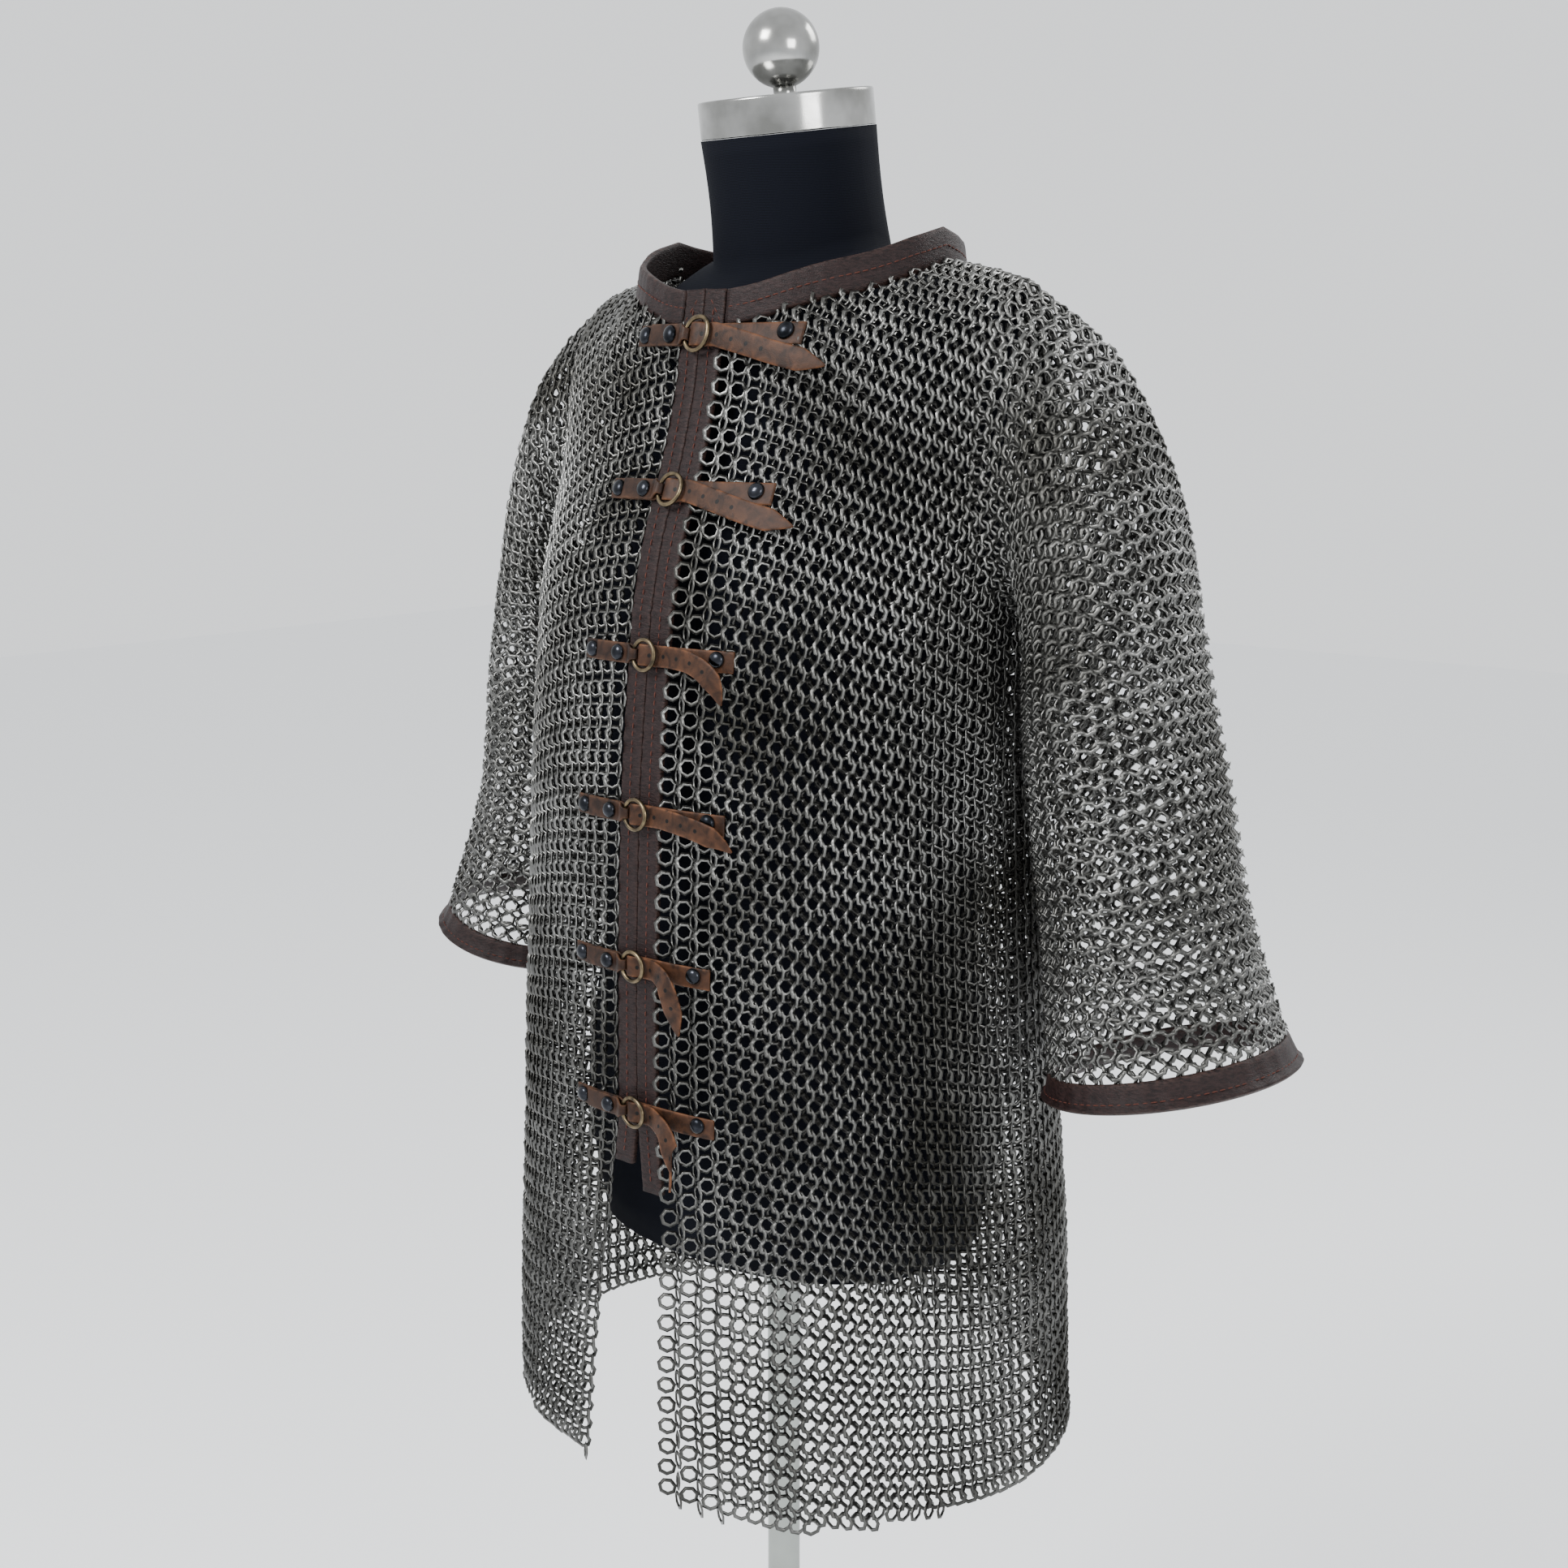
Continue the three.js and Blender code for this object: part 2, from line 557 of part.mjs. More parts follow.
// A flat strip of leather along a path of places, with its width at each.
function ribbon(path, widths) {
  const edges = [[], []];
  const underEdges = [[], []];
  path.forEach((place, i) => {
    const along = path[Math.min(i + 1, path.length - 1)].clone().sub(path[Math.max(i - 1, 0)]).normalize();
    const plan = Math.hypot(along.x, along.y);
    const down = along.x > 0 && plan > 0.5 ? -along.y / plan : 0;
    const wide = new THREE.Vector3(down, Math.sqrt(1 - down ** 2), 0);
    const normal = along.clone().cross(wide).normalize().multiplyScalar(LEATHER / 2);
    [1, -1].forEach((side, k) => {
      const edge = place.clone().addScaledVector(wide, side * widths[i] / 2);
      edges[k].push(edge.clone().add(normal));
      underEdges[k].push(edge.clone().sub(normal));
    });
  });
  return shell(edges, underEdges);
}

function toManifold(geometry) {
  const bare = geometry.clone();
  bare.deleteAttribute('normal');
  bare.deleteAttribute('uv');
  const merged = mergeVertices(bare, 1e-4);
  return new wasm.Manifold(new wasm.Mesh({
    numProp: 3,
    vertProperties: new Float32Array(merged.attributes.position.array),
    triVerts: new Uint32Array(merged.index.array),
  }));
}

function cutBy(geometry, tool) {
  const mesh = toManifold(geometry).subtract(toManifold(tool)).getMesh();
  const cut = new THREE.BufferGeometry();
  cut.setAttribute('position', new THREE.BufferAttribute(new Float32Array(mesh.vertProperties), 3));
  cut.setIndex(new THREE.BufferAttribute(new Uint32Array(mesh.triVerts), 1));
  return cut;
}

function chapeGeometry() {
  const path = CHAPE.map(([x, out]) => new THREE.Vector3(x, 0, out));
  const widths = CHAPE.map(([x]) => THREE.MathUtils.mapLinear(
    THREE.MathUtils.smoothstep(x, -17, -11), 0, 1, STRAP_WIDTH, CHAPE_AT_RING));
  const slot = new THREE.BoxGeometry(12, 2 * PRONG.slot, 12).translate(-8, 0, 5);
  return cutBy(ribbon(path, widths), slot);
}

function strapGeometry({ end, tail }) {
  const flat = columnsTo(4, end, STRAP_FOLD[0][0]).map((x) => [x, SINGLE]);
  const base = [...flat, ...STRAP_FOLD].map(([x, out]) => new THREE.Vector3(x, 0, out));
  const path = [...base, ...tail.map(([x, up, out]) => new THREE.Vector3(x, up, out))];
  const widths = path.map((_, i) => (i === path.length - 1 ? 2 : STRAP_WIDTH));
  const hole = new THREE.BoxGeometry(4, 2 * PRONG.slot, 3.2).translate(-3.6, 0, PRONG.out);
  return cutBy(ribbon(path, widths), hole);
}

function ringGeometry() {
  const ring = new THREE.TorusGeometry(1, RING.wire / RING.halfWidth, 6, 20);
  const position = ring.attributes.position;
  for (let i = 0; i < position.count; i += 1) {
    const x = position.getX(i);
    const y = position.getY(i);
    const size = Math.hypot(x, y);
    const spread = (size - 1) * RING.halfWidth;
    position.setXYZ(
      i,
      RING.x + x / size * (RING.halfWidth + spread),
      y / size * (RING.halfHeight + spread),
      THREE.MathUtils.mapLinear(x / size, -1, 1, RING.low, RING.high) + position.getZ(i) * RING.halfWidth,
    );
  }
  return ring;
}

// The prong's eye goes round the ring, and its tongue through the hole in the strap.
function prongGeometry() {
  const pivot = RING.x - RING.halfWidth;
  const points = [];
  for (let step = 0; step <= 8; step += 1) {
    const angle = Math.PI * (0.3 + 1.5 * step / 8);
    points.push(new THREE.Vector3(pivot + PRONG.eye * Math.cos(angle), 0, RING.low + PRONG.eye * Math.sin(angle)));
  }
  points.push(new THREE.Vector3(pivot + 5, 0, PRONG.out), new THREE.Vector3(PRONG.tip, 0, PRONG.out));
  const route = new THREE.CatmullRomCurve3(points);
  const section = new THREE.Shape().absarc(0, 0, PRONG.wire, 0, 2 * Math.PI);
  return new THREE.ExtrudeGeometry(section, { steps: 14, curveSegments: 5, extrudePath: route });
}

function rivetGeometry(across, up, out) {
  const profile = [new THREE.Vector2(0, 0), new THREE.Vector2(RIVET.radius, 0)];
  for (let step = 1; step < 3; step += 1) {
    const angle = SIDE_TURN * step / 3;
    profile.push(new THREE.Vector2(RIVET.radius * Math.cos(angle), RIVET.height * Math.sin(angle)));
  }
  profile.push(new THREE.Vector2(0, RIVET.height));
  return new THREE.LatheGeometry(profile, 10).rotateX(SIDE_TURN).translate(across, up, out);
}

CLOSURES.forEach((closure, index) => {
  const number = index + 1;
  const addLaid = (name, geometry, material) => add(`${name}_${number}`, layOnFront(geometry, closure.z), material);
  addLaid('chape', chapeGeometry(), BROWN_LEATHER);
  addLaid('strap', strapGeometry(closure), BROWN_LEATHER);
  addLaid('ring', ringGeometry(), BRASS);
  addLaid('prong', prongGeometry(), BRASS);
  const onSingle = SINGLE + LEATHER / 2 + GAP;
  const onDouble = DOUBLE + LEATHER / 2 + GAP;
  addLaid('rivet_end', rivetGeometry(RIVET.end, 0, onSingle), BLUED_STEEL);
  addLaid('rivet_mid', rivetGeometry(RIVET.mid, 0, onDouble), BLUED_STEEL);
  addLaid('rivet_strap', rivetGeometry(closure.end - RIVET.fromStrapEnd, RIVET.lift, onSingle), BLUED_STEEL);
});

// The form bears on the mail at the shoulders only, and is lower than it towards the neck.
function formAt(turn, level) {
  const alongRidge = FORM_SHOULDER * Math.asin(Math.abs(Math.sin(turn))) / SIDE_TURN;
  const bearing = THREE.MathUtils.smoothstep(alongRidge, FORM_DROP.from, FORM_DROP.to);
  const drop = THREE.MathUtils.lerp(FORM_DROP.neck, FORM_DROP.shoulder, bearing);
  return level < 0 ? section(FORM, turn, ARMPIT_Z + level) : dome(FORM, turn, level, FORM_SHOULDER, drop);
}

const insideFormNeck = (p) => 1 - (p.x ** 2 + (p.y - FORM_NECK.footY) ** 2) / FORM_NECK.foot ** 2;

// The form's body closes along the shoulder ridge, and its neck stands up from the middle of it.
function formGeometry() {
  const neckTurn = solve((turn) => -insideFormNeck(formAt(turn, 1)), 0, SIDE_TURN);
  const quarter = [
    ...columnsTo(FORM_STEPS.neck, 0, neckTurn), ...columnsTo(FORM_STEPS.shoulder, neckTurn, SIDE_TURN),
  ];
  const half = [...quarter, ...[SIDE_TURN, ...[...quarter].reverse().map((turn) => Math.PI - turn)]];
  const turns = [...half, ...half.slice(1, -1).reverse().map((turn) => -turn)];
  const columns = turns.map((turn) => {
    const column = [new THREE.Vector3(0, SIDE_Y, FORM[0].z)];
    for (let row = 0; row < FORM_STEPS.low; row += 1) {
      column.push(formAt(turn, (FORM[0].z - ARMPIT_Z) * (1 - row / FORM_STEPS.low)));
    }
    const open = insideFormNeck(formAt(turn, 1)) > -1e-6;
    const top = open ? solve((rise) => insideFormNeck(formAt(turn, rise)), 0.2, 1) : 1;
    for (let row = 0; row <= FORM_STEPS.high; row += 1) column.push(formAt(turn, top * row / FORM_STEPS.high));
    const foot = column[column.length - 1];
    const y = (foot.y - FORM_NECK.footY) * FORM_NECK.radius / FORM_NECK.foot;
    const x = foot.x * FORM_NECK.radius / FORM_NECK.foot;
    const rim = new THREE.Vector3(x, FORM_NECK.y + y, FORM_NECK.z + y * Math.tan(FORM_NECK.tilt));
    const middle = new THREE.Vector3(0, FORM_NECK.y, FORM_NECK.z);
    return open ? [...column, rim, middle] : column;
  });
  return weld(columns);
}

// A closed skin round a ring of columns, as far up as both neighbours go. Points that meet are
// welded, and faces that this leaves without an area are dropped.
function weld(columns) {
  const geometry = new THREE.BufferGeometry().setFromPoints(columns.flat());
  const starts = [0];
  columns.forEach((column, i) => starts.push(starts[i] + column.length));
  const index = [];
  columns.forEach((column, i) => {
    const next = (i + 1) % columns.length;
    const rows = Math.min(column.length, columns[next].length);
    for (let j = 1; j < rows; j += 1) {
      const [a, b] = [starts[i] + j, starts[next] + j];
      index.push(a - 1, b - 1, b, a - 1, b, a);
    }
  });
  geometry.setIndex(index);
  const merged = mergeVertices(geometry, 1e-3);
  const corners = [...merged.index.array];
  const kept = [];
  for (let i = 0; i < corners.length; i += 3) {
    const [a, b, c] = corners.slice(i, i + 3);
    if (a !== b && b !== c && c !== a) kept.push(a, b, c);
  }
  merged.setIndex(kept);
  merged.computeVertexNormals();
  return merged;
}

const lathe = (points, sides) => new THREE.LatheGeometry(points.map(([r, z]) => new THREE.Vector2(r, z)), sides)
  .rotateX(SIDE_TURN);

// The cap and the ball are turned about the neck's own axis, which leans to the front.
function onNeck(name, points, sides) {
  const mesh = add(name, lathe(points, sides), POLISHED_STEEL);
  mesh.position.set(0, FORM_NECK.y, FORM_NECK.z);
  mesh.rotation.x = FORM_NECK.tilt;
}

const capTop = GAP + CAP_HEIGHT;
const ballOutline = [];
for (let step = 0; step <= 8; step += 1) {
  const stemAngle = Math.asin(BALL.stem / BALL.radius);
  const angle = stemAngle + (Math.PI - stemAngle) * step / 8;
  ballOutline.push([BALL.radius * Math.sin(angle), BALL.up - BALL.radius * Math.cos(angle)]);
}

add('form_torso', formGeometry(), BLACK_JERSEY);
onNeck('form_cap', [
  [0, GAP], [FORM_NECK.radius, GAP], [FORM_NECK.radius, capTop - 2], [FORM_NECK.radius - 2, capTop], [0, capTop],
], 32);
onNeck('form_ball', [[0, capTop + GAP], [BALL.stem, capTop + GAP], ...ballOutline], 18);
const boreRadius = POLE_RADIUS + GAP;
const collarTop = BASE.thick + BASE.collarHeight;
add('form_pole', lathe([
  [0, BASE.thick + GAP], [POLE_RADIUS, BASE.thick + GAP], [POLE_RADIUS, FORM[0].z - GAP], [0, FORM[0].z - GAP],
], 16), POLISHED_STEEL);
add('form_base', lathe([
  [0, 0], [BASE.radius, 0], [BASE.radius, BASE.thick - BASE.edge], [BASE.radius - BASE.edge, BASE.thick],
  [BASE.collarRadius, BASE.thick], [BASE.collarRadius, collarTop], [boreRadius, collarTop],
  [boreRadius, BASE.thick], [0, BASE.thick],
], 32), POLISHED_STEEL);

export default group;
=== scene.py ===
# Chainmail hauberk, buckled down the front, on a round dress form: the looks of every piece.
# Metres. +X is the wearer's left, -Y is the front, and the floor is z = 0.
import bpy
import bmesh
import numpy as np
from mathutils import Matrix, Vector


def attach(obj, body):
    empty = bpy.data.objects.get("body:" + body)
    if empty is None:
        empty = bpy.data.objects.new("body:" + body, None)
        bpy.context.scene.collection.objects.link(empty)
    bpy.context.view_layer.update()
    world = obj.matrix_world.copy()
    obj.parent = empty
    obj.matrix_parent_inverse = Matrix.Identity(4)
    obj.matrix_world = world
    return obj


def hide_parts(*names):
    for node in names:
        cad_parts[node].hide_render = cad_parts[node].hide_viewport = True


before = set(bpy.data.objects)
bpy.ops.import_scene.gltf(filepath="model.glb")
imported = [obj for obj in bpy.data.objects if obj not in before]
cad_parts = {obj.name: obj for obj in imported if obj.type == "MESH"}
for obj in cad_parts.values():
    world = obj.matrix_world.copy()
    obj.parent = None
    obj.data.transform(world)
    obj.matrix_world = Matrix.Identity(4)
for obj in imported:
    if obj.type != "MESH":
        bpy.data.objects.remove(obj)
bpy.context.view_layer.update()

# Studio. A camera a little above the chest, 40 degrees round to the wearer's left, on a pale floor
# under one large soft light, a weaker one from the other side and a narrow one from behind.
CAMERA_ROUND = np.radians(40.0)
CAMERA_AWAY = 1.480
CAMERA_HEIGHT = 1.390
PHOTO_SIDE = 1932
FOCAL_PIXELS = 2530
HORIZON_PIXEL = 475
SENSOR = 36.0

tilt = np.arctan((PHOTO_SIDE / 2 - HORIZON_PIXEL) / FOCAL_PIXELS)
camera_data = bpy.data.cameras.new("camera")
camera_data.sensor_width = SENSOR
camera_data.lens = SENSOR * FOCAL_PIXELS / PHOTO_SIDE
camera = bpy.data.objects.new("camera", camera_data)
camera.location = (CAMERA_AWAY * np.sin(CAMERA_ROUND), -CAMERA_AWAY * np.cos(CAMERA_ROUND), CAMERA_HEIGHT)
look = Vector((-np.sin(CAMERA_ROUND) * np.cos(tilt), np.cos(CAMERA_ROUND) * np.cos(tilt), -np.sin(tilt)))
camera.rotation_euler = look.to_track_quat("-Z", "Y").to_euler()
bpy.context.scene.collection.objects.link(camera)
bpy.context.scene.camera = camera


def soft_light(name, place, size, watts, colour=(1.0, 1.0, 1.0)):
    """A square area light that faces the middle of the garment."""
    data = bpy.data.lights.new(name, "AREA")
    data.size = size
    data.energy = watts
    data.color = colour
    lamp = bpy.data.objects.new(name, data)
    lamp.location = place
    lamp.rotation_euler = (Vector((0.0, 0.0, 1.1)) - Vector(place)).to_track_quat("-Z", "Y").to_euler()
    bpy.context.scene.collection.objects.link(lamp)


soft_light("key", (-0.6, -2.6, 3.1), 1.1, 130)
soft_light("fill", (2.9, -1.0, 1.9), 1.2, 50)
soft_light("rim", (0.9, 2.4, 2.9), 1.2, 45)

world = bpy.data.worlds.new("studio")
world.use_nodes = True
world.node_tree.nodes["Background"].inputs["Color"].default_value = (0.96, 0.98, 1.0, 1.0)
world.node_tree.nodes["Background"].inputs["Strength"].default_value = 1.3
bpy.context.scene.world = world


def show(name, mesh):
    """Shades a mesh smooth and puts it in the scene, as an object at the origin."""
    mesh.polygons.foreach_set("use_smooth", np.full(len(mesh.polygons), True))
    mesh.update()
    piece = bpy.data.objects.new(name, mesh)
    bpy.context.scene.collection.objects.link(piece)
    return piece


def new_mesh(name, points, faces):
    """An object from an (n, 3) array of points and an (m, 3 or 4) array of faces."""
    mesh = bpy.data.meshes.new(name)
    mesh.from_pydata(np.asarray(points, float).tolist(), [], np.asarray(faces).tolist())
    return show(name, mesh)


FLOOR_HALF = 9.0
floor_corners = [(-FLOOR_HALF, -FLOOR_HALF, 0), (FLOOR_HALF, -FLOOR_HALF, 0),
                 (FLOOR_HALF, FLOOR_HALF, 0), (-FLOOR_HALF, FLOOR_HALF, 0)]
floor = new_mesh("floor", floor_corners, [(0, 1, 2, 3)])
floor_paint = bpy.data.materials.new("floor_paint")
floor_paint.use_nodes = True
floor_paint.node_tree.nodes["Principled BSDF"].inputs["Base Color"].default_value = (0.93, 0.94, 0.95, 1.0)
floor_paint.node_tree.nodes["Principled BSDF"].inputs["Roughness"].default_value = 0.8
floor.data.materials.append(floor_paint)

# The coat's own shape. A flared body of four-sided round plan, cut straight like a shirt, closes
# over the shoulders along a ridge, and each sleeve hangs from its armhole. Every piece lies on it.
WALL = 0.006
ARMPIT_Z = 1.240
SIDE_Y = 0.008
SIDE_TURN = np.pi / 2
ROUNDNESS = 0.86
ARMHOLE_SET_IN = np.radians(18.0)
ARMHOLE_SPREAD = 0.35
HEM_FRONT, HEM_SIDE, HEM_BACK = 0.603, 0.632, 0.630
NECK_HALF_WIDTH, NECK_HALF_DEPTH, NECK_Y = 0.124, 0.101, 0.017

# height, half width, front and back
BODY = np.array([
    (0.600, 0.223, -0.155, 0.172), (0.770, 0.215, -0.158, 0.164), (0.890, 0.207, -0.157, 0.152),
    (1.010, 0.199, -0.155, 0.140), (1.130, 0.194, -0.149, 0.140), (1.240, 0.192, -0.137, 0.146),
])
# share of the way to the arm, then the ridge's x, y and z
RIDGE = np.array([
    (0.0, 0.000, 0.022, 1.512), (0.25, 0.064, 0.022, 1.496), (0.5, 0.122, 0.022, 1.471),
    (0.75, 0.180, 0.024, 1.456), (1.0, 0.228, 0.026, 1.428),
])
# share of the way from armpit to ridge, then how far up, and how far out from the ridge
CHEST = np.array([
    (0.0, 0.0, 1.0), (0.16, 0.17, 0.93), (0.32, 0.36, 0.81), (0.48, 0.54, 0.72),
    (0.62, 0.70, 0.665), (0.76, 0.84, 0.53), (0.89, 0.95, 0.28), (1.0, 1.0, 0.0),
])
UPPER_BACK = np.array([
    (0.0, 0.0, 1.0), (0.16, 0.20, 0.99), (0.32, 0.40, 0.95), (0.48, 0.59, 0.88),
    (0.62, 0.77, 0.79), (0.76, 0.90, 0.60), (0.89, 0.965, 0.31), (1.0, 1.0, 0.0),
])
# outer point x, z and inner point x, z of each loop, then its y and half depth
SLEEVE = np.array([
    (0.222, 1.428, 0.203, 1.238, 0.029, 0.056), (0.250, 1.396, 0.206, 1.228, 0.034, 0.066),
    (0.279, 1.330, 0.206, 1.205, 0.038, 0.072), (0.300, 1.240, 0.204, 1.165, 0.040, 0.076),
    (0.318, 1.150, 0.208, 1.105, 0.044, 0.080), (0.338, 1.055, 0.215, 1.025, 0.047, 0.082),
    (0.373, 0.968, 0.226, 0.934, 0.044, 0.087), (0.386, 0.950, 0.222, 0.916, 0.043, 0.093),
])


def read(rows, at):
    """A smooth cubic curve through a table's rows, read at the values of its first column."""
    keys = rows[:, 0]
    last = len(rows) - 1
    i = np.clip(np.searchsorted(keys, at, "right") - 1, 0, last - 1)
    f = np.clip((at - keys[i]) / (keys[i + 1] - keys[i]), 0, 1)[..., None]
    start, end = rows[i, 1:], rows[i + 1, 1:]
    inward = np.where((i == 0)[..., None], end - start, (end - rows[np.maximum(i - 1, 0), 1:]) / 2)
    after = rows[np.minimum(i + 2, last), 1:]
    outward = np.where((i + 1 == last)[..., None], end - start, (after - start) / 2)
    return ((2 * f**3 - 3 * f**2 + 1) * start + (f**3 - 2 * f**2 + f) * inward
            + (3 * f**2 - 2 * f**3) * end + (f**3 - f**2) * outward)


def rounded(value):
    """A value from -1 to 1 with its size raised to the plan's roundness."""
    return np.sign(value) * np.abs(value) ** ROUNDNESS


def section(rows, turn, z):
    """Plan at one height: half width and depth times a rounded sine and cosine of the turn."""
    half, front, back = np.moveaxis(read(rows, z), -1, 0)
    depth = np.where(np.cos(turn) > 0, front - SIDE_Y, SIDE_Y - back)
    y = SIDE_Y + depth * rounded(np.cos(turn))
    return np.stack([half * rounded(np.sin(turn)), y, z + 0 * turn], -1)


def dome(rows, turn, rise, reach=1.0, drop=0.0):
    """The plan at the armpit drawn up and in to the ridge as the rise goes from 0 to 1."""
    at_front = np.cos(turn) > -1e-9
    low = section(rows, turn, np.full(np.shape(turn), ARMPIT_Z))
    around = np.abs(np.arctan2(np.sin(turn), np.cos(turn)))
    ridge = read(RIDGE, reach * np.where(at_front, around, np.pi - around) / SIDE_TURN)
    step = np.where(at_front[..., None], read(CHEST, rise), read(UPPER_BACK, rise))
    up, out = step[..., 0], step[..., 1]
    side = np.where(np.sin(turn) < 0, -1.0, 1.0)
    return np.stack([
        low[..., 0] + (side * ridge[..., 0] - low[..., 0]) * up,
        ridge[..., 1] + (low[..., 1] - ridge[..., 1]) * out,
        ARMPIT_Z + (ridge[..., 2] - drop - ARMPIT_Z) * up,
    ], -1)


def body_at(turn, level):
    """The body's middle surface. A level below 0 is metres under the armpit, and above it the rise."""
    turn, level = np.broadcast_arrays(np.asarray(turn, float), np.asarray(level, float))
    below = section(BODY, turn, ARMPIT_Z + np.minimum(level, 0))
    above = dome(BODY, turn, np.clip(level, 0, 1))
    return np.where((level < 0)[..., None], below, above)


def unit(vectors):
    """Vectors divided by their lengths."""
    return vectors / np.maximum(np.linalg.norm(vectors, axis=-1, keepdims=True), 1e-12)


def body_normal(turn, level):
    """Outward direction: the cross product of small steps across and up, taken inside each patch."""
    turn, level = np.broadcast_arrays(np.asarray(turn, float), np.asarray(level, float))
    around = np.abs(np.arctan2(np.sin(turn), np.cos(turn)))
    edge = SIDE_TURN - 0.011
    high = np.where(around <= SIDE_TURN, np.minimum(around, edge), np.maximum(around, np.pi - edge))
    inside = np.where(level < 0, turn, np.where(np.sin(turn) < 0, -high, high))
    middle = np.where(level < 0, np.minimum(level, -0.0005), np.clip(level, 0.004, 0.996))
    step = np.where(level < 0, 0.0005, 0.004)
    across = body_at(inside + 0.01, middle) - body_at(inside - 0.01, middle)
    upward = body_at(inside, middle + step) - body_at(inside, middle - step)
    return unit(np.cross(across, upward))


def solve(rising, low, high, steps=30):
    """Roots of a rising function of arrays, by halving between low and high."""
    for _ in range(steps):
        middle = (low + high) / 2
        above = rising(middle) > 0
        high = np.where(above, middle, high)
        low = np.where(above, low, middle)
    return (low + high) / 2


def armhole_turn(rise):
    """The turn of the armhole seam: the side line, set in towards the chest by a rounded quarter sine."""
    share = np.sin(SIDE_TURN * np.clip(rise / ARMHOLE_SPREAD, 0, 1)) ** 0.8
    return SIDE_TURN - ARMHOLE_SET_IN * share


def inside_neck(p):
    """Above 0 inside the oval of the neck opening, seen from above, and below 0 outside it."""
    return 1 - (p[..., 0] / NECK_HALF_WIDTH) ** 2 - ((p[..., 1] - NECK_Y) / NECK_HALF_DEPTH) ** 2


def sleeve_loop(index, around):
    """One loop round the left sleeve: an ellipse between its outer and inner point."""
    if index == 0:
        rise = 1 - np.arccos(np.cos(around)) / np.pi
        turn = armhole_turn(rise)
        return dome(BODY, np.where(np.sin(around) >= 0, turn, np.pi - turn), rise)
    out_x, out_z, in_x, in_z, y, depth = SLEEVE[index - 1]
    cosine = np.cos(around)
    return np.stack([
        (out_x + in_x) / 2 + (out_x - in_x) / 2 * cosine,
        y - depth * np.sin(around),
        (out_z + in_z) / 2 + (out_z - in_z) / 2 * cosine,
    ], -1)


def sleeve_at(around, loop):
    """The left sleeve: its loops joined by smooth cubic curves."""
    around, loop = np.broadcast_arrays(np.asarray(around, float), np.asarray(loop, float))
    last = len(SLEEVE)
    loops = np.stack([sleeve_loop(index, around) for index in range(last + 1)])
    i = np.clip(np.floor(loop).astype(int), 0, last - 1)

    def pick(index):
        return np.take_along_axis(loops, np.clip(index, 0, last)[None, ..., None], 0)[0]

    f = (loop - i)[..., None]
    start, end = pick(i), pick(i + 1)
    inward, outward = (end - pick(i - 1)) / 2, (pick(i + 2) - start) / 2
    return ((2 * f**3 - 3 * f**2 + 1) * start + (f**3 - 2 * f**2 + f) * inward
            + (3 * f**2 - 2 * f**3) * end + (f**3 - f**2) * outward)


def sleeve_normal(around, loop):
    """Outward direction: the cross product of small steps round and along the sleeve."""
    loop = np.maximum(loop, 0.06)
    along = sleeve_at(around, loop + 0.05) - sleeve_at(around, loop - 0.05)
    return unit(np.cross(sleeve_at(around + 0.02, loop) - sleeve_at(around - 0.02, loop), along))


# Mail. Thousands of round wire rings, each through four others: down the body they stand in upright
# columns that lean left and right by turns, and on the sleeves the same columns go round the arm.
# the ring to the middle of its wire, and the wire from the ring's inside to its outside and through
RING_RADIUS = 0.0052
WIRE_WIDTH, WIRE_THICKNESS = 0.0026, 0.0017
RING_SEGMENTS = 7
WIRE_SIDES = 3
# a ring's lean between its limits, then how unevenly rings lean, turn and lie
LINK_SHARE = 0.89
LEAN_LEAST, LEAN_MOST = np.radians(31), np.radians(40)
LEAN_SPREAD, YAW_SPREAD, PLACE_SPREAD = np.radians(3.5), np.radians(4.0), 0.00022
COLUMN_APART = 0.005
RINGS_UP = 61
STRETCHED_APART = 0.0072
STRETCHED_COLUMNS = 5
chance = np.random.default_rng(41)


